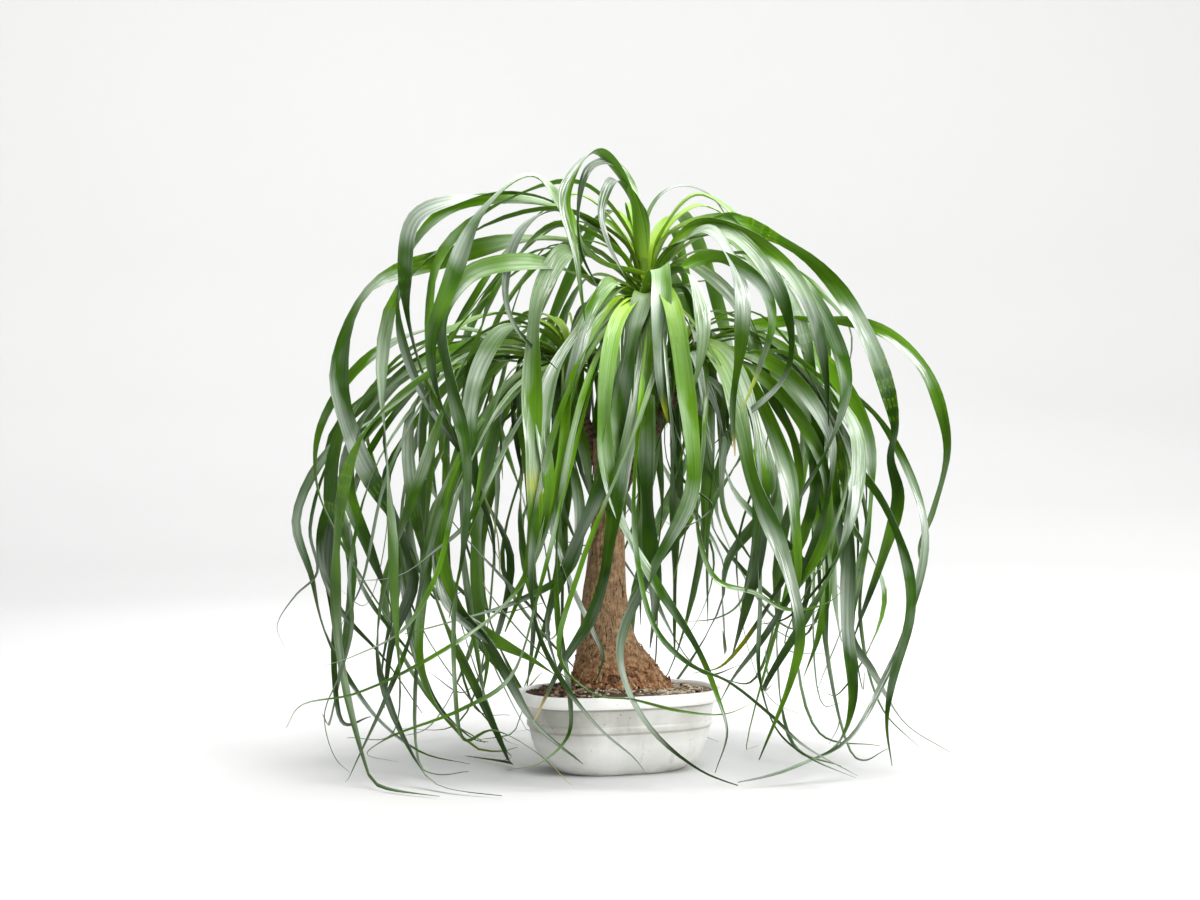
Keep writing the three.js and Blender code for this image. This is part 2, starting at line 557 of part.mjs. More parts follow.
// A three-sided blade along its line, flat above and keeled below. grow thickens it all round.
function leafSolid(head, leaf, turn, grow) {
  const line = leafLine(head, leaf, turn);
  const shares = sharesAlong(line);
  const last = line.length - 1;
  const forwards = line.map((_, step) => (
    new THREE.Vector3().subVectors(line[Math.min(step + 1, last)], line[Math.max(step - 1, 0)]).normalize()
  ));
  let across = new THREE.Vector3(0, 0, 1).cross(forwards[0]);
  const sideways = forwards.map((forward) => {
    across = squareTo(forward, across);
    return across;
  });
  let twist = THREE.MathUtils.degToRad(leaf.twist);
  if (leaf.facesFront) {
    const step = Math.round(FACING_SHARE * last);
    const front = squareTo(forwards[step], new THREE.Vector3(1, 0, 0));
    const sine = new THREE.Vector3().crossVectors(sideways[step], front).dot(forwards[step]);
    twist += Math.atan(sine / sideways[step].dot(front));
  }
  const rings = line.map((centre, step) => {
    const half = Math.max(halfWidth(leaf, shares[step]), LEAST_HALF_WIDTH);
    const twistEnd = leaf.facesFront ? FACING_END : TWIST_END;
    const roll = twist * THREE.MathUtils.smoothstep(shares[step], TWIST_START, twistEnd);
    const edge = sideways[step].clone().applyAxisAngle(forwards[step], roll);
    const under = new THREE.Vector3().crossVectors(edge, forwards[step]);
    const keel = Math.max(KEEL_LEAST, KEEL_SHARE * 2 * half);
    return [
      centre.clone().addScaledVector(edge, half + grow).addScaledVector(under, -grow),
      centre.clone().addScaledVector(edge, -half - grow).addScaledVector(under, -grow),
      centre.clone().addScaledVector(under, keel + grow),
    ];
  });
  return solidFrom(loft(rings));
}

// Turns to try for a leaf: none, then wider and wider to either side
function turnsToTry() {
  const turns = [0];
  for (let step = 1; step <= TURN_TRIES; step += 1) {
    turns.push(step * TURN_STEP, -step * TURN_STEP);
  }
  return turns;
}

// Each leaf of the list that can stand clear of the obstacles, turned as little as that takes
function clearLeaves(head, leaves, obstacles) {
  const solids = [];
  for (const leaf of leaves) {
    const turn = turnsToTry().find((degrees) => {
      const grown = leafSolid(head, leaf, degrees, CLEARANCE);
      return obstacles.intersect(grown).isEmpty();
    });
    if (turn !== undefined) {
      solids.push(leafSolid(head, leaf, turn, 0));
    }
  }
  return solids;
}

// All heads' leaves: first those placed by hand, then those by rule, each clear of the other heads and wood
function leafHeads(fixed) {
  const names = Object.keys(HEADS);
  const solids = Object.fromEntries(names.map((name) => [name, [coreSolid(HEADS[name])]]));
  for (const listOf of [shownLeaves, ruledLeaves]) {
    for (const name of names) {
      const others = names.filter((other) => other !== name).flatMap((other) => solids[other]);
      const obstacles = Manifold.union([fixed, ...others]);
      solids[name].push(...clearLeaves(HEADS[name], listOf(name), obstacles));
    }
  }
  return Object.fromEntries(names.map((name) => [name, largestBody(Manifold.union(solids[name]))]));
}

const pot = potSolid();
const trunk = trunkSolid();
const soil = soilSolid(trunkHoleSolid());
const heads = leafHeads(Manifold.union([pot, trunk, soil]));

const palm = new THREE.Group();
palm.add(
  pieceMesh("pot", pot, 0xe9e9e6, 0.35),
  pieceMesh("soil", largestBody(soil), 0x4a382c, 0.95),
  pieceMesh("trunk", trunk, 0x8a6244, 0.85),
  pieceMesh("leaves_top", heads.top, 0x4f8f35, 0.4),
  pieceMesh("leaves_left", heads.left, 0x3f7d36, 0.4),
  pieceMesh("leaves_right", heads.right, 0x47863a, 0.4),
);

export default palm;
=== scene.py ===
"""Looks of a potted ponytail palm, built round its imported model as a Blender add-on.

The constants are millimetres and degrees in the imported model's own frame: the origin is the centre of the
pot's foot, +Z is up and -Y is the plant's front. Meshes are made in metres.
"""
import math

import bpy
import numpy as np
from bpy.props import FloatProperty, FloatVectorProperty, IntProperty, PointerProperty
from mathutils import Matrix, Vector, noise


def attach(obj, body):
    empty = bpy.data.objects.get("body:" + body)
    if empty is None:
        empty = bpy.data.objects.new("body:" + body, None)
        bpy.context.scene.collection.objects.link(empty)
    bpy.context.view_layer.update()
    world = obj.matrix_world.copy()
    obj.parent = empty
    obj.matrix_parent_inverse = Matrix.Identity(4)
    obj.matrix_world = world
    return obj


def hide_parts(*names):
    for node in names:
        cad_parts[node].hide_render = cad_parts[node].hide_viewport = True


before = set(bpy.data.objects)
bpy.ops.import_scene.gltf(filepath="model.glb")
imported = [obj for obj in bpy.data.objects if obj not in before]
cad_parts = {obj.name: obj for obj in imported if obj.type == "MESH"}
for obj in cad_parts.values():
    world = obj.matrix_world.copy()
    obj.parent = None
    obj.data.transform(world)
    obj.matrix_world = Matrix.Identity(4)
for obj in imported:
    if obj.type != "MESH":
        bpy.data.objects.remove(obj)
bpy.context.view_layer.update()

bl_info = {
    "name": "Potted ponytail palm",
    "version": (1, 0, 0),
    "blender": (4, 5, 0),
    "location": "3D View > Sidebar > Palm",
    "description": "Makes a ponytail palm with a corky trunk and strap leaves in an oval plastic pot",
    "category": "Add Mesh",
}

MM = 0.001
BODY = "root"

# Pot outline as height and share of the rim's half size: outside, rolled rim, and inside down to the floor
POT_OUTSIDE = [
    (0, 0.585), (0.6, 0.612), (2, 0.64), (5, 0.684), (11, 0.755), (17, 0.798), (23, 0.83), (30, 0.853),
    (36, 0.868), (42.4, 0.88), (43.4, 0.883), (44.2, 0.896), (45.2, 0.903), (48.6, 0.905), (49.8, 0.9),
    (50.6, 0.892), (56, 0.902), (62, 0.913), (67, 0.919), (67.6, 0.93),
]
POT_RIM = [
    (67.8, 0.974), (68.3, 0.987), (69.4, 0.995), (72, 1.0), (76, 1.0), (78.2, 0.996), (79.5, 0.988),
    (80, 0.975), (79.9, 0.958), (79, 0.945), (77, 0.934),
]
POT_FLOOR = 3
POT_INSIDE = [
    (72, 0.925), (60, 0.896), (48, 0.868), (30, 0.83), (18, 0.775), (8, 0.685), (3.6, 0.62),
    (POT_FLOOR, 0.58),
]
POT_SQUARENESS = 2.6
POT_SECTORS = 176
DRAIN_RADIUS = 4
DRAIN_REACH = 34
DRAIN_COUNT = 4
DRAIN_SIDES = 32
DRAIN_CUT = 12

# Runs of dirt down the pot's wall, as width and length in metres
RUN_WIDTH = 0.009
RUN_LENGTH = 0.07

# Soil: how far the heap round the trunk spreads, and the share of the full heap that it reaches, which falls
# towards the right and stays between two bounds
HEAP_SPREAD = 14
HEAP_MIDDLE = 0.85
HEAP_TILT = 0.45
HEAP_SHARES = (0.4, 0.95)

# Lumps of the soil with the lengths of their waves, the share of them that shows under the crumbs, and the
# crumbs
LUMPS = 2.4
LUMP_WAVES = (7.3, 6.1, 3.9)
LUMP_SHARE = 0.4
CRUMBS = 1.4
CRUMB_SIZE = 5.0

# Rings of the soil: its gap to the wall, the levels below its surface, and how far its edge sinks
SOIL_GAP = 0.5
SOIL_LEVELS = (3.4, 18, 40, 60)
SOIL_EDGE_DROP = 1.2
SOIL_SECTORS = 150
SOIL_RINGS = 58
SOIL_MIDDLE = 0.03

# Chips: sizes of the small and the big ones, the share of small ones, and how near the trunk they come
CHIP_SIZES = ((1.4, 3.8), (3.8, 7.5))
SMALL_CHIPS = 0.72
SPLIT_CHIPS = 0.55
CHIP_CLEARANCE = 49
CHIP_LEAN = 0.35

# Trunk as height, centre along X and radius, up to the cut stump
TRUNK = [
    (58, 0, 51), (70, 0, 52), (83, 0, 50), (94, -4, 45), (108, -7, 39), (128, -12, 29),
    (168, -15.5, 22.5), (208, -13.5, 18.5), (268, -12.5, 14.5), (310, -14.5, 12), (332, -16, 11),
]
TRUNK_SIDES = 168
TRUNK_LEVELS = 250
SOIL_RADIUS = TRUNK[1][2]

# Lobes of the swollen base: the height at which they end, and each one's share, count and turn in radians
FLARE_TOP = 140
FLARE_SPAN = 60
FLARE_DEPTH = 0.075
LOBES = ((0.6, 3, -0.3), (0.4, 5, 1.2))

# Stump: its slant, and the rings of its end grain as share of the radius and rise
STUMP_SLANT = 0.25
STUMP_SLANT_START = 318
STUMP_SLANT_SPAN = 14
STUMP_RINGS = ((0.93, 0.5), (0.8, -0.4), (0.6, 0.3), (0.35, -0.3), (0.12, 0.2))
STUMP_LUMPS = 0.8
STUMP_LUMP_SIZE = 2.2
STUMP_RELIEF = 0.6

# Bark: where the rough base ends, and the sizes of its patterns, some of them as width and height
ROUGH_TOP = 128
ROUGH_FADE = 34
CRACK_SIZE = (5.5, 9.0)
CRACK_WAVE = 7.0
WART_SIZE = 4.5
HOLLOW_SIZE = 12.0
HOLLOW_SQUASH = 1.6
HOLLOW_EDGE = 2.6
HOLLOW_DEPTH = 1.6
RIB_SIZE = (2.9, 30.0)
RIB_WAVE = 18.0
SWELL = 0.9
SWELL_SIZE = 22.0
BARK_DEPTHS = (0.9, 3.6)

# Flakes of loose bark: their lowest and highest place, where they turn pale, and their sizes
TRUNK_FOOT = 80
FLAKE_TOP = 128
FLAKE_PALE = 96
FLAKE_PALE_SPAN = 18
FLAKE_SIZES = (1.4, 4.4)
FLAKE_CROWDING = 1.8

# Branches as x, y, z and radius along the middle line
BRANCHES = [
    [(-9, 0, 264, 11), (7, 0, 300, 10), (20, 0, 345, 9), (25, 0, 395, 9), (25, 0, 456, 9)],
    [(-13, 2, 290, 9), (-27, 6, 324, 8.5), (-41, 8, 355, 8), (-45, 8, 378, 8), (-45, 8, 393, 8)],
    [(18, 0, 322, 8), (38, -3, 346, 8), (50, -4, 368, 7.5), (52, -4, 380, 7.5), (52, -4, 389, 7.5)],
]
BRANCH_SIDES = 40
BRANCH_STEPS = 110
SCAR_SPACING = 6.5
SCAR_RISE = 0.55
BRANCH_LUMPS = 0.5
# Share by which the branches are darkened towards the branch colour, as painted shade under the leaves
BRANCH_PAINTED_SHADE = 0.65

# Leaf heads: place, height of the core and the rule for the leaves. In lift, up and out, the first of the
# pair is for the youngest leaf and the second for the oldest. The other pairs are bounds.
HEADS = {
    "top": {
        "at": (25, 0, 455), "core": 60, "seed": 7, "azimuth": 90, "reach": 112, "lift": (76, 36),
        "up": (128, 32), "out": (66, 106), "beyond": (50, 150), "drop": (60, 160), "low": (-20, 230),
        "inner_fall": (120, 340), "inner_out": (30, 62),
    },
    "left": {
        "at": (-45, 8, 392), "core": 44, "seed": 11, "azimuth": 142, "reach": 66, "lift": (60, 10),
        "up": (60, 10), "out": (70, 98), "beyond": (50, 150), "drop": (50, 140), "low": (-30, 165),
        "inner_fall": (100, 300), "inner_out": (26, 58),
    },
    "right": {
        "at": (52, -4, 388), "core": 44, "seed": 31, "azimuth": 38, "reach": 66, "lift": (60, 10),
        "up": (60, 10), "out": (70, 98), "beyond": (50, 150), "drop": (50, 140), "low": (-30, 165),
        "inner_fall": (100, 300), "inner_out": (26, 58),
    },
}

# The point in front of the plant that the marks of the listed leaves are seen from
VIEW_POINT = (-20, -1800, 318)

# Leaves placed one by one: width, twist out of facing the front, share of the length from which the leaf
# tapers, then marks from the root on. Each mark's x and z are where it is seen in the plane y = 0 from the
# view point, and its y is its true depth.
SHOWN_LEAVES = {
    "top": [
        (15, 10, 0.5, (9, -30, 575), (-23, -60, 616), (-55, -85, 575), (-44, -98, 511), (-35, -100, 447)),
        (10, 10, 0.5, (22, -15, 560), (-5, -40, 604), (-30, -62, 600), (-41, -75, 560), (-38, -85, 515),
         (-22, -95, 480)),
        (11, 15, 0.5, (17, -20, 562), (-6, -45, 588), (-19, -60, 558), (-12, -70, 525), (6, -80, 490)),
        (17, 15, 0.6, (-28, -40, 510), (-60, -68, 565), (-89, -85, 592), (-137, -105, 556),
         (-168, -118, 491), (-189, -128, 425), (-182, -132, 375), (-165, -130, 330)),
        (16, 10, 0.5, (-30, -40, 488), (-90, -80, 506), (-150, -108, 494), (-177, -122, 450),
         (-168, -130, 385), (-154, -132, 310), (-157, -130, 215), (-171, -125, 150)),
        (10, 10, 0.5, (-28, -30, 515), (-60, -55, 557), (-98, -75, 538), (-115, -85, 478), (-104, -92, 440),
         (-62, -100, 398)),
        (19, 5, 0.6, (-30, -35, 485), (-53, -60, 516), (-80, -85, 470), (-87, -100, 401), (-88, -108, 308),
         (-85, -108, 248), (-98, -100, 180), (-115, -90, 136)),
        (15, 10, 0.6, (-10, -40, 480), (-35, -70, 446), (-68, -92, 393), (-78, -100, 340), (-71, -105, 281),
         (-79, -100, 233), (-95, -90, 190)),
        (13, -10, 0.6, (-6, -35, 486), (-24, -62, 470), (-44, -85, 407), (-55, -92, 345), (-45, -95, 300)),
        (18, -5, 0.5, (8, -32, 466), (-9, -58, 449), (-9, -80, 388), (-13, -95, 300), (-52, -95, 205),
         (-73, -90, 145), (-62, -85, 95)),
        (19, 0, 0.65, (24, -40, 474), (17, -62, 448), (8, -82, 400), (0, -94, 330), (5, -98, 250)),
        (19, 0, 0.6, (40, -38, 500), (42, -62, 480), (38, -84, 428), (40, -94, 385), (48, -95, 345)),
        (17, 10, 0.35, (38, -40, 482), (54, -78, 456), (69, -105, 348), (71, -110, 275), (37, -106, 205),
         (2, -102, 133), (2, -106, 95), (30, -125, 40), (80, -140, -2), (118, -145, -18)),
        (15, -10, 0.6, (50, -30, 494), (68, -58, 494), (83, -85, 447), (81, -95, 410), (70, -100, 370)),
        (15, 5, 0.6, (58, -20, 520), (88, -45, 538), (118, -75, 490), (122, -90, 430), (113, -98, 361),
         (115, -100, 312)),
        (16, 30, 0.7, (45, 0, 530), (100, 0, 548), (185, -8, 514), (240, -15, 445), (276, -25, 345),
         (272, -25, 310), (279, -25, 272), (262, -22, 210), (234, -18, 131)),
        (14, 30, 0.6, (55, -15, 522), (100, -35, 540), (148, -55, 497), (172, -70, 440), (166, -75, 392),
         (120, -80, 348), (95, -82, 325)),
        (17, 20, 0.6, (50, -10, 520), (95, -30, 543), (165, -50, 500), (192, -62, 455), (206, -72, 395),
         (209, -75, 342)),
        (14, -25, 0.65, (55, 0, 525), (110, -10, 538), (180, -25, 486), (216, -40, 428), (225, -50, 380),
         (208, -60, 322), (178, -65, 268), (165, -65, 240)),
        (12, 20, 0.5, (58, -30, 498), (100, -60, 512), (142, -85, 482), (152, -95, 448), (140, -100, 403),
         (121, -100, 355)),
        (18, 5, 0.6, (-2, -30, 480), (-28, -52, 458), (-46, -66, 410), (-47, -72, 365), (-36, -75, 318),
         (-28, -76, 262)),
        (14, 15, 0.6, (58, -10, 505), (112, -20, 470), (150, -30, 378), (174, -45, 330), (180, -50, 280),
         (172, -50, 230)),
        (15, -10, 0.4, (15, -40, 468), (-5, -75, 440), (-15, -95, 350), (-5, -102, 262), (29, -105, 195),
         (76, -110, 123), (98, -112, 70), (107, -118, 35), (95, -125, -5)),
        (16, 5, 0.75, (30, -36, 466), (30, -58, 448), (27, -75, 388), (27, -80, 308), (31, -80, 228),
         (35, -78, 170), (30, -75, 120)),
        (18, 10, 0.7, (-30, 0, 520), (-90, -2, 528), (-172, -10, 511), (-250, -25, 478), (-281, -40, 392),
         (-262, -48, 315), (-222, -56, 245), (-206, -60, 190), (-228, -62, 128), (-236, -60, 60)),
        (14, 30, 0.6, (-20, -5, 535), (-82, -20, 571), (-150, -35, 570), (-205, -50, 550), (-214, -60, 480),
         (-200, -68, 405), (-172, -75, 345), (-140, -80, 290)),
        (11, 25, 0.5, (-20, 0, 540), (-100, -15, 568), (-170, -30, 560), (-213, -45, 510), (-221, -55, 450),
         (-200, -65, 378), (-152, -75, 305), (-124, -80, 240), (-120, -80, 195)),
        (10, 15, 0.3, (0, -45, 470), (-45, -88, 400), (-60, -98, 300), (-90, -102, 200), (-123, -104, 155),
         (-197, -106, 106), (-266, -105, 74), (-320, -100, 62), (-334, -98, 40)),
        (11, -15, 0.65, (8, -40, 468), (-25, -70, 440), (-60, -85, 340), (-66, -90, 250), (-52, -92, 190),
         (-27, -94, 136), (-17, -94, 112), (-25, -92, 84)),
        (16, 10, 0.6, (28, -40, 468), (24, -82, 400), (2, -100, 300), (-8, -108, 235), (-15, -110, 190),
         (-29, -112, 150), (-57, -112, 106), (-86, -112, 47)),
    ],
    "left": [
        (11, 25, 0.35, (-92, 5, 420), (-177, 0, 440), (-254, -10, 408), (-299, -20, 342), (-303, -28, 285),
         (-285, -35, 238), (-252, -42, 180), (-225, -45, 140)),
        (9, 20, 0.5, (-90, 15, 405), (-168, 12, 405), (-238, 8, 353), (-290, 0, 318), (-324, -8, 250),
         (-308, -14, 192), (-296, -20, 140), (-266, -28, 81), (-237, -40, 44), (-197, -50, 15),
         (-150, -55, 4)),
        (12, 30, 0.7, (-90, 18, 415), (-140, 25, 425), (-210, 30, 400), (-262, 28, 330), (-285, 25, 260),
         (-293, 22, 205), (-288, 18, 160), (-284, 15, 115)),
        (14, 25, 0.7, (-88, -5, 422), (-160, -20, 418), (-213, -30, 394), (-263, -40, 337),
         (-273, -45, 281), (-250, -48, 218), (-230, -50, 165), (-228, -50, 135)),
        (16, 10, 0.6, (-72, -25, 432), (-112, -50, 440), (-141, -70, 401), (-152, -85, 345),
         (-143, -92, 285), (-128, -95, 240), (-125, -95, 200)),
        (11, 20, 0.4, (-52, -35, 402), (-50, -72, 330), (-40, -88, 250), (-50, -93, 200), (-99, -96, 168),
         (-173, -96, 145), (-215, -92, 134)),
        (10, 15, 0.65, (-72, -30, 405), (-120, -60, 368), (-175, -75, 280), (-195, -80, 190),
         (-200, -80, 110), (-178, -80, 55), (-135, -80, 25)),
        (15, -10, 0.65, (-80, 30, 410), (-115, 35, 365), (-138, 35, 280), (-143, 30, 200), (-140, 28, 150),
         (-133, 26, 110), (-137, 26, 74)),
        (14, 0, 0.8, (-76, -30, 402), (-140, -70, 340), (-178, -85, 240), (-175, -92, 170),
         (-140, -95, 137), (-90, -97, 110), (-66, -97, 94)),
        (8, 10, 0.6, (-90, 20, 410), (-180, 25, 400), (-262, 25, 320), (-300, 20, 230), (-286, 15, 168),
         (-236, 10, 110), (-198, 8, 55)),
        (11, 10, 0.7, (-70, -25, 405), (-110, -60, 385), (-150, -80, 320), (-180, -90, 240),
         (-165, -95, 170), (-134, -98, 130), (-112, -102, 90), (-86, -108, 45), (-37, -116, 4)),
    ],
    "right": [
        (12, 25, 0.7, (95, 0, 430), (180, 0, 449), (256, -2, 440), (300, -5, 404), (322, -8, 356),
         (328, -10, 315), (313, -12, 256), (299, -12, 219), (302, -12, 200)),
        (8, 20, 0.65, (95, 0, 418), (200, 0, 390), (252, -5, 358), (287, -12, 300), (305, -20, 235),
         (292, -35, 158), (262, -60, 84), (225, -88, 26), (150, -105, -8)),
        (15, 30, 0.55, (90, -10, 428), (150, -20, 425), (200, -30, 370), (228, -40, 270), (227, -50, 143),
         (233, -65, 65), (218, -75, 24), (177, -90, 2), (118, -112, -18)),
        (16, -25, 0.5, (90, 5, 435), (170, 0, 430), (225, -5, 380), (249, -8, 313), (247, -10, 240),
         (230, -18, 135), (251, -25, 99), (285, -36, 45), (330, -48, 16)),
        (10, 20, 0.75, (88, -10, 420), (150, -20, 398), (214, -30, 323), (260, -40, 272), (287, -50, 205),
         (290, -55, 155), (272, -65, 85), (267, -75, 44), (272, -85, 2)),
        (14, -20, 0.5, (86, -20, 418), (160, -35, 400), (208, -50, 335), (210, -55, 285), (195, -60, 230),
         (180, -60, 190), (172, -58, 150)),
        (15, 15, 0.65, (88, 10, 415), (150, 12, 400), (190, 8, 330), (200, 2, 240), (207, -3, 190),
         (198, -6, 130), (184, -8, 92)),
        (16, 10, 0.6, (84, -28, 412), (128, -50, 388), (165, -75, 305), (175, -80, 240), (178, -80, 190),
         (172, -78, 150)),
        (17, 10, 0.5, (80, -30, 420), (104, -68, 396), (123, -98, 338), (133, -112, 291), (165, -120, 205),
         (180, -120, 135), (172, -120, 90), (139, -115, 8)),
        (16, -10, 0.7, (82, -20, 425), (112, -55, 404), (133, -80, 352), (140, -85, 300), (140, -88, 225),
         (128, -85, 170), (111, -80, 108)),
        (12, 5, 0.6, (88, -20, 412), (150, -40, 385), (200, -50, 310), (205, -54, 235), (170, -58, 171),
         (140, -62, 125), (113, -68, 90), (100, -74, 66)),
    ],
}

# Slender leaves placed one by one in the same way, which are too fine for the imported model
THREAD_LEAVES = {
    "top": [
        (4.1, 15, 0.7, (27, 10, 551), (45, 15, 577), (68, 18, 582), (92, 20, 571), (107, 20, 551)),
        (6, 25, 0.7, (5, -45, 460), (-35, -90, 380), (-60, -105, 260), (-62, -110, 150), (-50, -114, 70),
         (-52, -120, 32), (-80, -124, 5), (-113, -124, -2)),
        (6, 10, 0.7, (5, -48, 460), (-50, -95, 380), (-85, -110, 250), (-85, -112, 150), (-59, -116, 89),
         (-20, -122, 39), (14, -127, 10), (26, -130, -5)),
        (4.7, 20, 0.7, (45, -55, 450), (20, -100, 350), (-40, -115, 200), (-60, -118, 110), (-25, -116, 74),
         (12, -114, 69), (60, -114, 57), (105, -112, 54), (135, -110, 66)),
        (4.1, 20, 0.7, (-5, -50, 450), (-50, -100, 300), (-80, -112, 180), (-110, -118, 90),
         (-158, -118, 59), (-232, -115, 30), (-253, -112, 14), (-222, -112, 6)),
        (4.1, 20, 0.7, (60, -40, 460), (130, -75, 330), (140, -90, 180), (140, -98, 90), (158, -102, 37),
         (190, -108, 10), (236, -112, -10)),
        (3, 10, 0.7, (40, -40, 480), (45, -85, 420), (50, -98, 360), (62, -100, 290), (92, -102, 262),
         (60, -104, 240), (40, -104, 250)),
        (5, 15, 0.7, (30, -50, 455), (20, -95, 360), (15, -108, 230), (35, -112, 140), (70, -114, 104),
         (108, -116, 87), (151, -116, 53), (183, -118, 23), (238, -118, -8)),
    ],
    "left": [
        (3.5, 25, 0.7, (-90, 10, 420), (-200, 0, 425), (-280, -5, 330), (-310, -10, 240), (-303, -15, 195),
         (-325, -18, 172), (-343, -25, 142), (-334, -28, 118)),
        (4.1, 25, 0.7, (-70, -35, 412), (-110, -80, 395), (-135, -100, 320), (-150, -108, 250),
         (-185, -112, 217), (-222, -112, 192), (-266, -108, 187)),
        (4.7, 25, 0.7, (-62, -40, 405), (-110, -90, 375), (-160, -112, 280), (-185, -118, 190),
         (-217, -118, 138), (-264, -115, 113), (-296, -112, 102)),
        (4.1, 25, 0.7, (-62, -42, 400), (-110, -90, 330), (-160, -110, 200), (-165, -115, 80),
         (-155, -120, 28), (-128, -125, 38), (-79, -130, 12), (-47, -135, -20)),
        (3.2, 10, 0.7, (-85, -20, 415), (-160, -60, 410), (-230, -80, 300), (-259, -85, 182),
         (-279, -88, 140), (-277, -88, 121)),
        (8, 15, 0.75, (-85, 20, 410), (-150, 20, 395), (-195, 10, 300), (-215, 0, 200), (-210, -8, 140),
         (-200, -15, 101), (-187, -22, 71), (-165, -30, 44), (-144, -35, 28), (-132, -38, 26)),
        (5, 10, 0.75, (-80, -40, 400), (-150, -80, 330), (-190, -95, 220), (-210, -100, 130),
         (-236, -102, 66), (-262, -104, 10), (-275, -106, -19)),
        (3.5, 20, 0.7, (-85, -10, 415), (-165, -30, 400), (-240, -50, 310), (-270, -60, 200),
         (-268, -65, 140), (-279, -70, 96), (-295, -75, 58), (-294, -80, 36), (-284, -85, 9),
         (-271, -88, -4)),
    ],
    "right": [
        (4.1, 25, 0.7, (95, -20, 415), (170, -30, 360), (205, -38, 230), (207, -42, 110), (215, -46, 70),
         (219, -50, 45), (209, -55, 24)),
        (4.1, 25, 0.7, (95, 10, 420), (190, 14, 380), (245, 16, 260), (240, 14, 150), (262, 10, 60),
         (300, 5, 20)),
        (4.5, 20, 0.75, (82, -35, 410), (84, -80, 330), (78, -92, 240), (97, -95, 188), (135, -95, 175),
         (165, -92, 159), (205, -88, 164), (227, -86, 181)),
        (3.2, 15, 0.7, (84, -30, 415), (120, -70, 380), (140, -90, 290), (132, -95, 200), (118, -97, 163),
         (97, -98, 150), (62, -100, 146)),
    ],
}

# Bands that have yellowed on leaves placed one by one: each leaf's place in its table, with the band's
# middle and reach as shares of the leaf's length
YELLOW_BANDS = {
    "top": {6: (0.7, 0.022), 10: (0.85, 0.05), 11: (0.96, 0.05)},
}

# About one leaf in twelve has yellowed over its last seventh, and one in fourteen has dried at its tip
YELLOW_CHANCE = 0.08
YELLOW_START = 0.84
YELLOW_SPAN = 0.05
DRY_CHANCE = 0.07
DRY_START = 0.93
DRY_SPAN = 0.055

# Leaf root: how far out in the core it starts, and its height over the head's place
ROOT_OUT = 6
ROOT_LOW = 9
ROOT_RISE = 0.3
ROOT_TOP_SHARE = 0.75

# Leaves by rule: first reach, widths, twists, and the share and width of the slim ones past the full count
FIRST_REACH = 42
FIRST_RISE = 0.72
LEAF_WIDTHS = (6, 14)
LEAF_TWISTS = (-150, 150)
RULED_TAPER = 0.55
SLIM_SHARE = 0.6
SLIM_WIDTH = 0.4

# Inner leaves: their seed over the head's, the share of their fall at the front, widths, twists and tones,
# which are darker both as old leaves and as painted shade inside the crown
INNER_SEED = 100
INNER_FRONT = 0.45
INNER_WIDTHS = (6, 13)
INNER_TWISTS = (-70, 70)
INNER_SHADED_LOTS = (0.62, 0.87)

# Width along a leaf: shares of the length and of the width at the root and at the tip
BASE_SPAN = 0.2
BASE_SHARE = 0.7
TIP_SHARE = 0.06
TAPER_BEND = 0.6

# Twist and sway along a leaf: where they start and how soon they are full, as shares of the length. A sway
# rolls the blade from side to side, with its length in millimetres for one radian of its wave.
TWIST_START = 0.05
TWIST_SPAN = 0.5
FACING_SPAN = 0.25
FACING_SHARE = 0.5
SWAY = 46
SWAY_START = 0.08
SWAY_SPAN = 0.25
SWAY_LENGTH = 38

# Blade: steps along, places across as shares of the half width, thickness, channel, ruffle, and how far the
# patterns of one leaf lie from those of the next
LEAF_STEPS = 50
COLUMNS = (-1.0, -0.56, 0.0, 0.56, 1.0)
BLADE_MIDDLE = 0.6
BLADE_EDGE = 0.26
CHANNEL = 0.2
ROOT_CHANNEL = 0.25
ROOT_CHANNEL_SPAN = 0.25
CHANNEL_BEND = 1.4
RUFFLE = 0.5
RUFFLE_LENGTH = 13
RUFFLE_FULL = 6
LOT_SPREAD = 40

# Keeping clear: over the floor, off the pot and the wood, and the turns that are tried about the head
FLOOR_CLEARANCE = 2
FLOOR_SOFTNESS = 10
CLEAR_FROM = 0.35
CLEAR_SHARE = 0.6
POT_CLEARANCE = 1
POT_HEADROOM = 4
TRUNK_CLEARANCE = 2
TRUNK_HEADROOM = 4
TRUNK_MARGIN = 1.08
BRANCH_CLEARANCE = 1
BRANCH_CHECKS = 12
CLEAR_STEPS = 30
TURN_STEP = 2
TURN_TRIES = 14
STUMP_SIDE = 9
STUMP_WINDOW = 30

# Turns and ages of the leaves by rule come round evenly with these shares
GOLDEN_TURN = 0.5698402910
GOLDEN_AGE = 0.7548776662

# Patterns on the blade, as width and length. Veins are about 0.8 mm apart on the real leaf, and are drawn
# about 2 mm apart so that they show; patches are stretches of paler and darker green.
VEIN_WIDTH = 2.0
VEIN_LENGTH = 130
PATCH_WIDTH = 70
PATCH_LENGTH = 120
# Painted sun glints are broken lines of this width and length
GLINT_WIDTH = 1.1
GLINT_LENGTH = 28

# Direction of the painted sky that the leaves mirror: above, and somewhat to the right
PAINTED_SKY_DIRECTION = (0.3, -0.02, 0.95)

# Camera: level, in front of the plant
CAMERA_AT = (-20, -1800, 318)
CAMERA_LENS = 54
CAMERA_SENSOR = 36

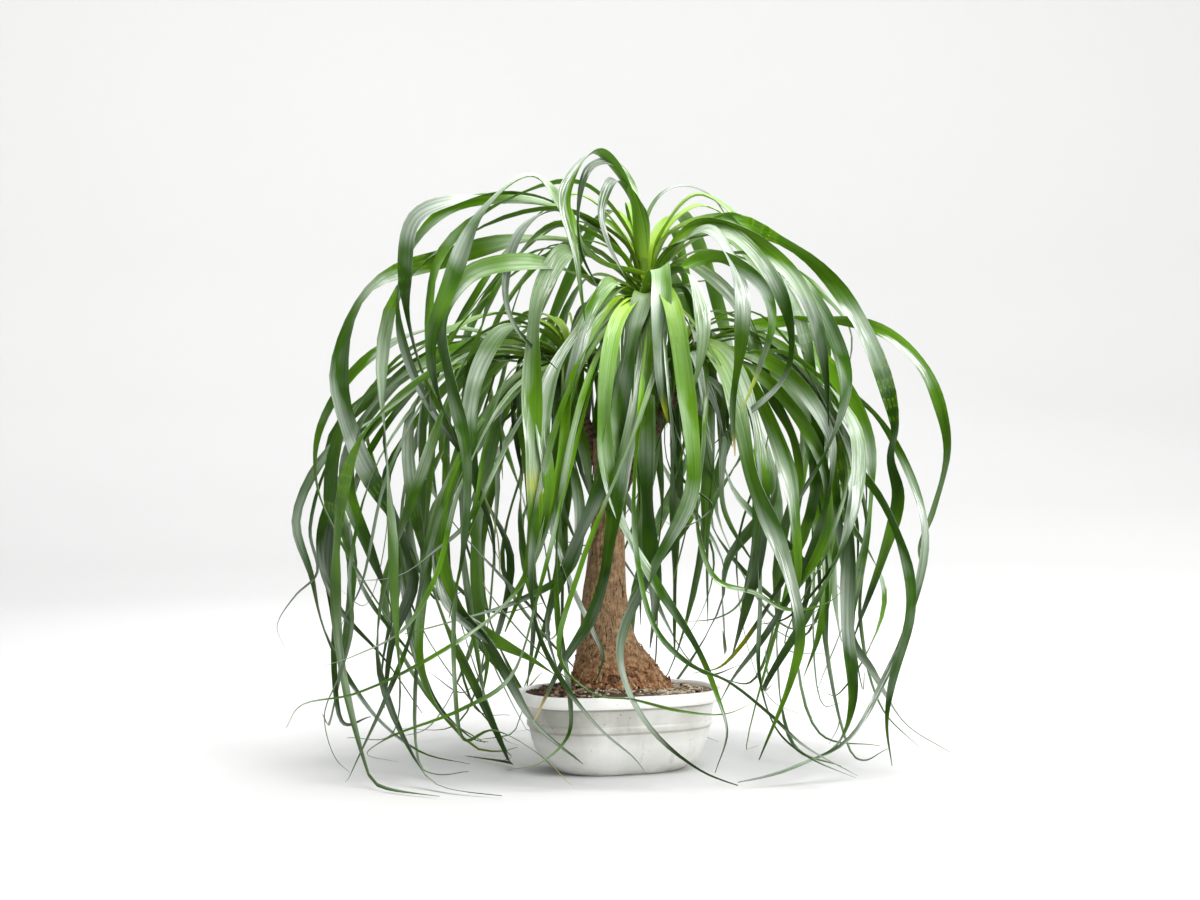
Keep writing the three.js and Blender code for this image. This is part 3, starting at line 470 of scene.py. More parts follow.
# Stage in metres: the sweep as radius and height, and each lamp with its place, what it points at, its size
# and its share of the main panel's power
SWEEP = [
    (0.8, 0.0), (1.6, 0.0), (2.3, 0.0), (2.75, 0.04), (3.1, 0.18), (3.35, 0.45), (3.5, 0.85), (3.55, 2.6),
]
SWEEP_SIDES = 96
LAMPS = [
    ("sky_panel", (0.3, -0.5, 2.5), (0, 0, 0.3), 1.6, 1),
    ("front_panel", (1.9, -1.7, 1.5), (0, 0, 0.25), 1.2, 0.62),
    ("rim_panel", (1.5, 1.9, 1.8), (0, 0, 0.4), 1.4, 0.3),
    ("wall_panel", (0, 0.8, 2.5), (0, 3.5, 0.7), 1.6, 0.8),
]


def linear(color):
    """A hex sRGB colour as the linear colour that Blender's sockets take."""
    parts = [int(color[start:start + 2], 16) / 255 for start in (1, 3, 5)]
    return [part / 12.92 if part <= 0.04045 else ((part + 0.055) / 1.055) ** 2.4 for part in parts] + [1.0]


def mix(pair, share):
    return pair[0] + (pair[1] - pair[0]) * share


def clamp(value, low, high):
    return max(low, min(high, value))


def smooth(value):
    """Eases a share from 0 to 1."""
    share = np.clip(value, 0, 1)
    return share * share * (3 - 2 * share)


class Draws:
    """Seeded draws between two values."""

    def __init__(self, seed):
        self.state = seed

    def __call__(self, low, high):
        self.state = (self.state * 1664525 + 1013904223) & 0xFFFFFFFF
        return low + (high - low) * self.state / 2**32


def spline(marks, count):
    """Centripetal Catmull-Rom curve through the marks, as count steps spread evenly over its spans."""
    points = np.array(marks, float)
    spans = len(points) - 1
    steps = []
    for step in range(count + 1):
        place = spans * step / count
        span = min(int(place), spans - 1)
        share = place - span
        start, end = points[span], points[span + 1]
        before = points[span - 1] if span else 2 * start - end
        after = points[span + 2] if span + 2 <= spans else 2 * end - start
        pairs = ((before, start), (start, end), (end, after))
        first, middle, last = [max(np.sum((b - a) ** 2) ** 0.25, 1e-4) for a, b in pairs]
        leave = (start - before) / first - (end - before) / (first + middle) + (end - start) / middle
        arrive = (end - start) / middle - (after - start) / (middle + last) + (after - end) / last
        leave, arrive = leave * middle, arrive * middle
        square = (3 * (end - start) - 2 * leave - arrive) * share**2
        cube = (2 * (start - end) + leave + arrive) * share**3
        steps.append(start + leave * share + square + cube)
    return np.array(steps)


def ring_faces(rings, count, start=0):
    """Quads between rings of count points that lie one after another, open at both ends."""
    faces = []
    for ring in range(rings - 1):
        for side in range(count):
            here = start + ring * count
            following = (side + 1) % count
            faces.append((here + side, here + following, here + count + following, here + count + side))
    return faces


def make_object(name, points, faces, materials, face_materials=None, sharp=40):
    """A smooth-shaded mesh object, from points in millimetres, with edges over the sharp angle kept crisp."""
    mesh = bpy.data.meshes.new(name)
    mesh.from_pydata((np.asarray(points, float) * MM).tolist(), [], faces)
    for material in materials:
        mesh.materials.append(material)
    if face_materials is not None:
        mesh.polygons.foreach_set("material_index", face_materials)
    mesh.polygons.foreach_set("use_smooth", [True] * len(mesh.polygons))
    mesh.set_sharp_from_angle(angle=math.radians(sharp))
    mesh.update()
    made = bpy.data.objects.new(name, mesh)
    bpy.context.scene.collection.objects.link(made)
    return made


def add_values(made, name, values):
    """Stores a vector for each point of the mesh, for its material to read."""
    stored = made.data.attributes.new(name, "FLOAT_VECTOR", "POINT")
    stored.data.foreach_set("vector", np.asarray(values, np.float32).ravel())


def add_node(tree, kind, inputs=None, **settings):
    """Adds a node, sets its properties and inputs, and links the inputs that are given as sockets."""
    node = tree.nodes.new(kind)
    for name, value in settings.items():
        if name == "stops":
            for index, (place, color) in enumerate(value):
                ramp = node.color_ramp.elements
                stop = ramp[index] if index < 2 else ramp.new(place)
                stop.position = place
                stop.color = color
        else:
            setattr(node, name, value)
    for name, value in (inputs or {}).items():
        if isinstance(value, bpy.types.NodeSocket):
            tree.links.new(value, node.inputs[name])
        else:
            node.inputs[name].default_value = value
    return node


def new_material(name):
    material = bpy.data.materials.new(name)
    material.use_nodes = True
    material.node_tree.nodes.clear()
    return material, material.node_tree


def finish_material(material, shader):
    tree = material.node_tree
    output = tree.nodes.new("ShaderNodeOutputMaterial")
    tree.links.new(shader.outputs[0], output.inputs["Surface"])
    return material


def blade_noise(tree, blade, width, length, detail):
    """Noise drawn out along the blade, of some width and length in millimetres, different on each leaf."""
    across, along, place = blade
    narrow = add_node(tree, "ShaderNodeMath", {0: across, 1: 1 / width}, operation="MULTIPLY")
    stretched = add_node(tree, "ShaderNodeMath", {0: along, 1: 1 / length}, operation="MULTIPLY")
    spot = add_node(tree, "ShaderNodeCombineXYZ", {0: narrow.outputs[0], 1: stretched.outputs[0], 2: place})
    drawn = add_node(tree, "ShaderNodeTexNoise", {"Vector": spot.outputs[0], "Scale": 1.0, "Detail": detail})
    return drawn.outputs["Fac"]


def leaf_green(tree, look, life, veins, patches, yellowing):
    """Green of a leaf by its share of the length, with paler stretches, a yellowed band and fine veins."""
    share, luck, chance = life
    ages = add_node(tree, "ShaderNodeValToRGB", {"Fac": share}, stops=[
        (0.0, look.young_color), (0.2, look.fresh_color), (0.5, look.leaf_color), (0.92, look.old_color),
    ])
    deepening = add_node(tree, "ShaderNodeMath", {0: luck, 1: 0.7}, operation="MULTIPLY")
    deepened = add_node(tree, "ShaderNodeMix", {
        0: deepening.outputs[0], 6: ages.outputs["Color"], 7: look.old_color,
    }, data_type="RGBA")
    bright = add_node(tree, "ShaderNodeMapRange", {
        "Value": chance, "From Min": 0.7, "From Max": 1.0, "To Max": 0.4,
    })
    brightened = add_node(tree, "ShaderNodeMix", {
        0: bright.outputs[0], 6: deepened.outputs[2], 7: look.fresh_color,
    }, data_type="RGBA")
    paler = add_node(tree, "ShaderNodeMapRange", {
        "Value": patches, "From Min": 0.45, "From Max": 0.3, "To Max": 0.45,
    })
    patched = add_node(tree, "ShaderNodeMix", {
        0: paler.outputs[0], 6: brightened.outputs[2], 7: look.fresh_color,
    }, data_type="RGBA")
    yellowed = add_node(tree, "ShaderNodeMix", {
        0: yellowing, 6: patched.outputs[2], 7: look.yellow_color,
    }, data_type="RGBA")
    lines = add_node(tree, "ShaderNodeMapRange", {
        "Value": veins, "From Min": 0.3, "From Max": 0.7, "To Min": 0.8, "To Max": 1.15,
    })
    veined = add_node(tree, "ShaderNodeMix", {
        0: 1.0, 6: yellowed.outputs[2], 7: lines.outputs[0],
    }, data_type="RGBA", blend_type="MULTIPLY")
    return veined.outputs[2]


def leaf_painted_reflection(tree, look, green, upward, veins, patches, grown):
    """Painted reflection of the sky in the wax: silver streaks painted where the blade faces upwards, and a
    painted grey haze on some stretches."""
    painted_gloss = add_node(tree, "ShaderNodeMapRange", {"Value": upward, "From Min": 0.24, "From Max": 0.7})
    raised = add_node(tree, "ShaderNodeMapRange", {
        "Value": upward, "From Min": -0.25, "From Max": 0.4, "To Max": 0.7,
    })
    misted = add_node(tree, "ShaderNodeMapRange", {"Value": patches, "From Min": 0.47, "From Max": 0.56})
    painted_haze = add_node(tree, "ShaderNodeMath", {
        0: raised.outputs[0], 1: misted.outputs[0],
    }, operation="MULTIPLY")
    skyward = add_node(tree, "ShaderNodeMath", {
        0: painted_gloss.outputs[0], 1: painted_haze.outputs[0],
    }, operation="MAXIMUM")
    streak = add_node(tree, "ShaderNodeMapRange", {
        "Value": veins, "From Min": 0.36, "From Max": 0.64, "To Min": 0.4, "To Max": 0.9,
    })
    streaked_reflection = add_node(tree, "ShaderNodeMath", {
        0: skyward.outputs[0], 1: streak.outputs[0],
    }, operation="MULTIPLY")
    painted_reflection_share = add_node(tree, "ShaderNodeMath", {0: streaked_reflection.outputs[0], 1: grown}, operation="MULTIPLY")
    # Painted reflection: the leaf's green is mixed towards the colour of the mirrored sky
    silvered = add_node(tree, "ShaderNodeMix", {
        0: painted_reflection_share.outputs[0], 6: green, 7: look.painted_reflection_color,
    }, data_type="RGBA")
    return silvered.outputs[2]


def leaf_painted_glints(tree, look, green_with_painted_reflection, upward, blade, chance, grown):
    """Painted sun glints: just past the bend of some leaves, broken white lines painted along the veins."""
    bend = add_node(tree, "ShaderNodeMapRange", {"Value": upward, "From Min": 0.22, "From Max": 0.4})
    crest = add_node(tree, "ShaderNodeMapRange", {"Value": upward, "From Min": 0.62, "From Max": 0.46})
    picked = add_node(tree, "ShaderNodeMapRange", {"Value": chance, "From Min": 0.4, "From Max": 0.6})
    bent = add_node(tree, "ShaderNodeMath", {
        0: bend.outputs[0], 1: crest.outputs[0],
    }, operation="MULTIPLY")
    lucky = add_node(tree, "ShaderNodeMath", {
        0: bent.outputs[0], 1: picked.outputs[0],
    }, operation="MULTIPLY")
    broken = blade_noise(tree, blade, GLINT_WIDTH, GLINT_LENGTH, 2.0)
    lines = add_node(tree, "ShaderNodeMapRange", {
        "Value": broken, "From Min": 0.5, "From Max": 0.62, "To Max": 0.85,
    })
    painted_glint = add_node(tree, "ShaderNodeMath", {
        0: lines.outputs[0], 1: lucky.outputs[0],
    }, operation="MULTIPLY")
    share = add_node(tree, "ShaderNodeMath", {0: painted_glint.outputs[0], 1: grown}, operation="MULTIPLY")
    glinted = add_node(tree, "ShaderNodeMix", {
        0: share.outputs[0], 6: green_with_painted_reflection, 7: look.painted_glint_color,
    }, data_type="RGBA")
    return glinted.outputs[2]


def leaf_material(look):
    """Fresh strap leaf with a waxy cuticle: deep green with fine lengthwise veins, bright yellow-green where
    it is young, greyer below, with painted highlights: streaky pale reflections of the sky and white glints."""
    material, tree = new_material("fresh_waxy_leaf")
    stored = add_node(tree, "ShaderNodeAttribute", attribute_name="blade")
    blade = add_node(tree, "ShaderNodeSeparateXYZ", {0: stored.outputs["Vector"]}).outputs
    traits = add_node(tree, "ShaderNodeAttribute", attribute_name="life")
    share, luck, face = add_node(tree, "ShaderNodeSeparateXYZ", {0: traits.outputs["Vector"]}).outputs
    wear = add_node(tree, "ShaderNodeAttribute", attribute_name="wear")
    yellowing, drying, _ = add_node(tree, "ShaderNodeSeparateXYZ", {0: wear.outputs["Vector"]}).outputs
    seventh = add_node(tree, "ShaderNodeMath", {0: luck, 1: 7.0}, operation="MULTIPLY")
    chance = add_node(tree, "ShaderNodeMath", {0: seventh.outputs[0]}, operation="FRACT").outputs[0]
    veins = blade_noise(tree, blade, VEIN_WIDTH, VEIN_LENGTH, 3.0)
    patches = blade_noise(tree, blade, PATCH_WIDTH, PATCH_LENGTH, 2.0)
    green = leaf_green(tree, look, (share, luck, chance), veins, patches, yellowing)

    # The painted reflection of the sky shows on the grown part of a leaf, and fades towards its tip
    facing = add_node(tree, "ShaderNodeNewGeometry")
    upward = add_node(tree, "ShaderNodeVectorMath", {
        0: facing.outputs["Normal"], 1: PAINTED_SKY_DIRECTION,
    }, operation="DOT_PRODUCT").outputs["Value"]
    past_root = add_node(tree, "ShaderNodeMapRange", {"Value": share, "From Min": 0.08, "From Max": 0.4})
    fading = add_node(tree, "ShaderNodeMapRange", {
        "Value": share, "From Min": 0.5, "From Max": 0.85, "To Min": 1.0, "To Max": 0.45,
    })
    grown = add_node(tree, "ShaderNodeMath", {
        0: past_root.outputs[0], 1: fading.outputs[0],
    }, operation="MULTIPLY").outputs[0]
    green_with_painted_reflection = leaf_painted_reflection(tree, look, green, upward, veins, patches, grown)
    above = leaf_painted_glints(tree, look, green_with_painted_reflection, upward, blade, chance, grown)
    below = add_node(tree, "ShaderNodeMix", {0: 0.4, 6: green_with_painted_reflection, 7: look.under_color}, data_type="RGBA")
    faced = add_node(tree, "ShaderNodeMix", {0: face, 6: below.outputs[2], 7: above}, data_type="RGBA")
    colored = add_node(tree, "ShaderNodeMix", {
        0: drying, 6: faced.outputs[2], 7: look.dry_color,
    }, data_type="RGBA")

    rough = add_node(tree, "ShaderNodeMapRange", {
        "Value": veins, "From Min": 0.3, "From Max": 0.7, "To Min": 0.27, "To Max": 0.46,
    })
    bump = add_node(tree, "ShaderNodeBump", {"Height": veins, "Strength": 0.55, "Distance": 0.3 * MM})
    shader = add_node(tree, "ShaderNodeBsdfPrincipled", {
        "Base Color": colored.outputs[2], "Roughness": rough.outputs[0], "Normal": bump.outputs[0],
        "IOR": 1.45, "Specular IOR Level": 0.2, "Coat Weight": 0.05, "Coat Roughness": 0.2,
        "Subsurface Weight": 0.15, "Subsurface Radius": (0.6, 1.0, 0.2), "Subsurface Scale": 1.2 * MM,
    })
    return finish_material(material, shader)


def pot_grime_and_shade(tree, place, height, broad):
    """Share of grime and painted shade: runs from watering, painted shadow lines in the step under the raised
    band and under the rim, and darkening towards the foot."""
    stretched = add_node(tree, "ShaderNodeVectorMath", {
        0: place, 1: (1 / RUN_WIDTH, 1 / RUN_WIDTH, 1 / RUN_LENGTH),
    }, operation="MULTIPLY")
    runs = add_node(tree, "ShaderNodeTexNoise", {"Vector": stretched.outputs[0], "Scale": 1.0, "Detail": 3.0})
    run_share = add_node(tree, "ShaderNodeMapRange", {
        "Value": runs.outputs["Fac"], "From Min": 0.58, "From Max": 0.8, "To Max": 0.5,
    })
    broad_share = add_node(tree, "ShaderNodeMapRange", {"Value": broad, "From Min": 0.42, "From Max": 0.68})
    dirt = add_node(tree, "ShaderNodeMath", {
        0: run_share.outputs[0], 1: broad_share.outputs[0],
    }, operation="MULTIPLY")

    # The step under the raised band is at 43 mm, and the rim's underside at 67 mm; a thin line of painted
    # shadow lies in each
    step = add_node(tree, "ShaderNodeMath", {0: height, 1: 0.0432, 2: 0.0012}, operation="COMPARE")
    under_rim = add_node(tree, "ShaderNodeMath", {0: height, 1: 0.067, 2: 0.0014}, operation="COMPARE")
    foot = add_node(tree, "ShaderNodeMapRange", {
        "Value": height, "From Min": 0.012, "From Max": 0.0, "To Max": 0.6,
    })
    lines = add_node(tree, "ShaderNodeMath", {
        0: step.outputs[0], 1: under_rim.outputs[0],
    }, operation="MAXIMUM")
    # Painted shadow: a thin dark line in the step and under the rim
    shadow_line_share = add_node(tree, "ShaderNodeMath", {0: lines.outputs[0], 1: 0.45}, operation="MULTIPLY")
    low = add_node(tree, "ShaderNodeMath", {
        0: foot.outputs[0], 1: broad_share.outputs[0],
    }, operation="MULTIPLY")
    marks = add_node(tree, "ShaderNodeMath", {
        0: shadow_line_share.outputs[0], 1: low.outputs[0],
    }, operation="MAXIMUM")
    return add_node(tree, "ShaderNodeMath", {
        0: dirt.outputs[0], 1: marks.outputs[0],
    }, operation="MAXIMUM").outputs[0]


def pot_specks(tree, place, height):
    """Share of splashed soil: round specks up to 1.6 mm across, on one cell in seven of a 3 mm pattern, more
    of them high up."""
    specks = add_node(tree, "ShaderNodeTexVoronoi", {"Vector": place, "Scale": 320.0, "Randomness": 1.0})
    picked = add_node(tree, "ShaderNodeSeparateColor", {0: specks.outputs["Color"]})
    radius = add_node(tree, "ShaderNodeMapRange", {
        "Value": picked.outputs["Red"], "From Min": 0.86, "From Max": 1.0, "To Min": 0.0, "To Max": 0.26,
    })
    speck = add_node(tree, "ShaderNodeMath", {
        0: specks.outputs["Distance"], 1: radius.outputs[0],
    }, operation="LESS_THAN")
    high = add_node(tree, "ShaderNodeMapRange", {
        "Value": height, "From Min": 0.02, "From Max": 0.05, "To Min": 0.2, "To Max": 0.7,
    })
    return add_node(tree, "ShaderNodeMath", {
        0: speck.outputs[0], 1: high.outputs[0],
    }, operation="MULTIPLY").outputs[0]


def pot_dust_and_shade(tree, look, side, height, broad):
    """Share of dust and painted shade: a thin uneven film on the body below the rim, most of it above the
    step and towards the left; it is dust, and painted shade under the rim and on the pot's left side."""
    # None on the rim and all of it on the body below, as dust and as painted shade under the rim
    film = add_node(tree, "ShaderNodeMapRange", {
        "Value": height, "From Min": 0.0685, "From Max": 0.0665, "To Max": look.dust,
    })
    uneven = add_node(tree, "ShaderNodeMapRange", {
        "Value": broad, "From Min": 0.36, "From Max": 0.62, "To Min": 0.35,
    })
    # Painted shade: the film is heavier towards the pot's left side
    leftward = add_node(tree, "ShaderNodeMapRange", {
        "Value": side, "From Min": 0.06, "From Max": -0.07, "To Min": 0.6, "To Max": 1.0,
    })
    upward = add_node(tree, "ShaderNodeMapRange", {
        "Value": height, "From Min": 0.03, "From Max": 0.046, "To Min": 0.4, "To Max": 1.0,
    })
    for factor in (uneven, leftward, upward):
        film = add_node(tree, "ShaderNodeMath", {
            0: film.outputs[0], 1: factor.outputs[0],
        }, operation="MULTIPLY")
    return film.outputs[0]


def pot_material(look):
    """Injection-moulded white polypropylene: glossy and a little uneven, under a film of dust and painted
    shade, with specks, grey-brown runs from watering, and lines of painted shadow under the rim and the
    raised band."""
    material, tree = new_material("moulded_polypropylene")
    place = add_node(tree, "ShaderNodeTexCoord").outputs["Object"]
    side, _, height = add_node(tree, "ShaderNodeSeparateXYZ", {0: place}).outputs

    # The broad pattern of dust and dirt changes over about 40 mm
    broad = add_node(tree, "ShaderNodeTexNoise", {
        "Vector": place, "Scale": 26.0, "Detail": 3.0,
    }).outputs["Fac"]
    grime_and_shade = pot_grime_and_shade(tree, place, height, broad)
    dusted_and_shaded = add_node(tree, "ShaderNodeMix", {
        0: pot_dust_and_shade(tree, look, side, height, broad), 6: look.plastic_color, 7: look.dust_color,
    }, data_type="RGBA")
    stained_and_shaded = add_node(tree, "ShaderNodeMix", {
        0: grime_and_shade, 6: dusted_and_shaded.outputs[2], 7: look.stain_and_shade_color,
    }, data_type="RGBA")
    spotted = add_node(tree, "ShaderNodeMix", {
        0: pot_specks(tree, place, height), 6: stained_and_shaded.outputs[2], 7: look.speck_color,
    }, data_type="RGBA")
    rough = add_node(tree, "ShaderNodeMapRange", {"Value": grime_and_shade, "To Min": 0.3, "To Max": 0.75})

    # The moulded wall ripples over about 17 mm
    ripple = add_node(tree, "ShaderNodeTexNoise", {"Vector": place, "Scale": 60.0, "Detail": 2.0})
    bump = add_node(tree, "ShaderNodeBump", {
        "Height": ripple.outputs["Fac"], "Strength": 0.12, "Distance": 1 * MM,
    })
    shader = add_node(tree, "ShaderNodeBsdfPrincipled", {
        "Base Color": spotted.outputs[2], "Roughness": rough.outputs[0], "Normal": bump.outputs[0],
        "IOR": 1.49, "Subsurface Weight": 0.12, "Subsurface Radius": (1.0, 1.0, 1.0),
        "Subsurface Scale": 2 * MM,
    })
    return finish_material(material, shader)


def bark_color(tree, look, height, plates, fibres, relief):
    """Colour of the bark: redder low down, pale on worn plates, lined with fibres, and dark in fissures,
    partly the darker bark deep in them and partly painted shade.
    """
    upper = add_node(tree, "ShaderNodeMapRange", {"Value": height, "From Min": 0.085, "From Max": 0.135})
    zone = add_node(tree, "ShaderNodeMix", {
        0: upper.outputs[0], 6: look.base_color, 7: look.bark_color,
    }, data_type="RGBA")
    worn = add_node(tree, "ShaderNodeMapRange", {
        "Value": plates, "From Min": 0.42, "From Max": 0.66, "To Max": 0.75,
    })
    plated = add_node(tree, "ShaderNodeMix", {
        0: worn.outputs[0], 6: zone.outputs[2], 7: look.worn_color,
    }, data_type="RGBA")
    fibre_tone = add_node(tree, "ShaderNodeMapRange", {
        "Value": fibres, "From Min": 0.3, "From Max": 0.7, "To Min": 0.62, "To Max": 1.25,
    })
    lined = add_node(tree, "ShaderNodeMix", {
        0: 1.0, 6: plated.outputs[2], 7: fibre_tone.outputs[0],
    }, data_type="RGBA", blend_type="MULTIPLY")
    # Partly painted shade: the deeper the relief, the nearer the colour comes to the fissure colour
    depth = add_node(tree, "ShaderNodeMapRange", {
        "Value": relief, "From Min": 0.56, "From Max": 0.2, "To Max": 0.92,
    })
    cut = add_node(tree, "ShaderNodeMix", {
        0: depth.outputs[0], 6: lined.outputs[2], 7: look.fissure_and_shade_color,
    }, data_type="RGBA")
    return cut.outputs[2]


def bark_material(look):
    """Corky bark: matte brown plates with dark fissures, darkened in part as painted shade, redder and
    rougher on the swollen base, paler where the surface is worn high, and darkened on the branches as painted
    shade."""
    material, tree = new_material("corky_bark")
    place = add_node(tree, "ShaderNodeTexCoord").outputs["Object"]
    height = add_node(tree, "ShaderNodeSeparateXYZ", {0: place}).outputs["Z"]
    bark = add_node(tree, "ShaderNodeAttribute", attribute_name="bark")
    relief, _, branch = add_node(tree, "ShaderNodeSeparateXYZ", {0: bark.outputs["Vector"]}).outputs

    # Plates differ in colour over about 6 mm, and the fibres on them are about 1 mm wide and 15 mm long
    plates = add_node(tree, "ShaderNodeTexNoise", {
        "Vector": place, "Scale": 160.0, "Detail": 4.0, "Roughness": 0.6,
    }).outputs["Fac"]
    stretched = add_node(tree, "ShaderNodeVectorMath", {
        0: place, 1: (900.0, 900.0, 66.0),
    }, operation="MULTIPLY")
    fibres = add_node(tree, "ShaderNodeTexNoise", {
        "Vector": stretched.outputs[0], "Scale": 1.0, "Detail": 3.0,
    }).outputs["Fac"]
    # The branches are darkened towards a near-black brown, as painted shade under the leaves
    shaded = add_node(tree, "ShaderNodeMix", {
        0: branch, 6: bark_color(tree, look, height, plates, fibres, relief), 7: look.branch_bark_and_shade_color,
    }, data_type="RGBA")
    bump = add_node(tree, "ShaderNodeBump", {"Height": fibres, "Strength": 0.7, "Distance": 0.6 * MM})
    grain = add_node(tree, "ShaderNodeBump", {
        "Height": plates, "Strength": 0.7, "Distance": 1.2 * MM, "Normal": bump.outputs[0],
    })
    shader = add_node(tree, "ShaderNodeBsdfPrincipled", {
        "Base Color": shaded.outputs[2], "Roughness": 0.85, "Normal": grain.outputs[0], "IOR": 1.4,
    })
    return finish_material(material, shader)


def toned_bits(name, stops, scale, shades):
    """Matte bits, each of its own tone on the ramp of the stops, with a fine grain that lightens and darkens
    it."""
    material, tree = new_material(name)
    chip = add_node(tree, "ShaderNodeAttribute", attribute_name="chip")
    tone = add_node(tree, "ShaderNodeSeparateXYZ", {0: chip.outputs["Vector"]}).outputs["X"]
    place = add_node(tree, "ShaderNodeTexCoord").outputs["Object"]
    colors = add_node(tree, "ShaderNodeValToRGB", {"Fac": tone}, stops=stops)
    grain = add_node(tree, "ShaderNodeTexNoise", {"Vector": place, "Scale": scale, "Detail": 3.0})
    shade = add_node(tree, "ShaderNodeMapRange", {
        "Value": grain.outputs["Fac"], "From Min": 0.3, "From Max": 0.7,
        "To Min": shades[0], "To Max": shades[1],
    })
    colored = add_node(tree, "ShaderNodeMix", {
        0: 1.0, 6: colors.outputs["Color"], 7: shade.outputs[0],
    }, data_type="RGBA", blend_type="MULTIPLY")
    bump = add_node(tree, "ShaderNodeBump", {
        "Height": grain.outputs["Fac"], "Strength": 0.6, "Distance": 0.4 * MM,
    })
    shader = add_node(tree, "ShaderNodeBsdfPrincipled", {
        "Base Color": colored.outputs[2], "Roughness": 0.85, "Normal": bump.outputs[0],
    })
    return finish_material(material, shader)


def flake_material(look):
    """Loose bark: each flake its own tone from dark brown through red-brown to pale straw, with a grain of
    about 1.4 mm."""
    return toned_bits("loose_bark_flakes", [
        (0.0, look.fissure_and_shade_color), (0.3, look.base_color), (0.6, look.worn_color), (1.0, look.straw_color),
    ], 700.0, (0.6, 1.2))


def stump_material(look):
    """Weathered end grain: nearly black wood, rough with pores of about 1.4 mm."""
    material, tree = new_material("weathered_end_grain")
    place = add_node(tree, "ShaderNodeTexCoord").outputs["Object"]
    pores = add_node(tree, "ShaderNodeTexNoise", {"Vector": place, "Scale": 700.0, "Detail": 4.0})
    tone = add_node(tree, "ShaderNodeValToRGB", {"Fac": pores.outputs["Fac"]}, stops=[
        (0.35, look.fissure_and_shade_color), (0.7, look.stump_color),
    ])
    bump = add_node(tree, "ShaderNodeBump", {
        "Height": pores.outputs["Fac"], "Strength": 0.9, "Distance": 0.8 * MM,
    })
    shader = add_node(tree, "ShaderNodeBsdfPrincipled", {
        "Base Color": tone.outputs["Color"], "Roughness": 0.9, "Normal": bump.outputs[0],
    })
    return finish_material(material, shader)


def soil_material(look):
    """Damp potting mix: dark fibrous humus, paler towards the right where dusty grit has dried on top."""
    material, tree = new_material("damp_potting_mix")
    place = add_node(tree, "ShaderNodeTexCoord").outputs["Object"]
    side = add_node(tree, "ShaderNodeSeparateXYZ", {0: place}).outputs["X"]

    # Crumbs are about 3 mm across, and the dust drifts over about 33 mm
    crumbs = add_node(tree, "ShaderNodeTexNoise", {
        "Vector": place, "Scale": 320.0, "Detail": 5.0, "Roughness": 0.65,
    })
    tone = add_node(tree, "ShaderNodeValToRGB", {"Fac": crumbs.outputs["Fac"]}, stops=[
        (0.3, look.humus_color), (0.72, look.crumb_color),
    ])
    drift = add_node(tree, "ShaderNodeTexNoise", {"Vector": place, "Scale": 30.0, "Detail": 2.0})
    dry = add_node(tree, "ShaderNodeMapRange", {"Value": side, "From Min": -0.03, "From Max": 0.07})
    dusty = add_node(tree, "ShaderNodeMath", {
        0: dry.outputs[0], 1: drift.outputs["Fac"],
    }, operation="MULTIPLY")
    colored = add_node(tree, "ShaderNodeMix", {
        0: dusty.outputs[0], 6: tone.outputs["Color"], 7: look.dust_color,
    }, data_type="RGBA")
    bump = add_node(tree, "ShaderNodeBump", {
        "Height": crumbs.outputs["Fac"], "Strength": 1.0, "Distance": 1.5 * MM,
    })
    shader = add_node(tree, "ShaderNodeBsdfPrincipled", {
        "Base Color": colored.outputs[2], "Roughness": 0.95, "Normal": bump.outputs[0],
    })
    return finish_material(material, shader)


def chip_material(look):
    """Bark chips, grit and bits of dry leaf: each its own tone from dark brown through straw to off-white,
    with a grain of about 1.1 mm."""
    return toned_bits("bark_chips_and_grit", [
        (0.0, look.humus_color), (0.3, look.chip_color), (0.6, look.dust_color), (1.0, look.pale_color),
    ], 900.0, (0.7, 1.15))


def stage_material(look):
    """Matte pale paint: an even studio sweep that takes soft shadows."""
    material, tree = new_material("matte_studio_paint")
    shader = add_node(tree, "ShaderNodeBsdfPrincipled", {
        "Base Color": look.floor_color, "Roughness": 0.9, "Specular IOR Level": 0.2,
    })
    return finish_material(material, shader)


def pot_ring(look, height, share, inset=0.0, sectors=POT_SECTORS):
    """One level of the pot's rounded oblong outline."""
    turn = np.arange(sectors) * 2 * math.pi / sectors
    power = 2 / POT_SQUARENESS
    along = np.sign(np.cos(turn)) * np.abs(np.cos(turn)) ** power * (look.length / 2 / MM * share - inset)
    across = np.sign(np.sin(turn)) * np.abs(np.sin(turn)) ** power * (look.width / 2 / MM * share - inset)
    cosine, sine = math.cos(look.turn), math.sin(look.turn)
    x = along * cosine - across * sine
    y = along * sine + across * cosine
    return np.stack([x, y, np.full(sectors, height)], 1)


def fan(start, count, centre, flip):
    """Triangles from a ring to its centre point."""
    faces = [(start + side, start + (side + 1) % count, centre) for side in range(count)]
    return [face[::-1] for face in faces] if flip else faces


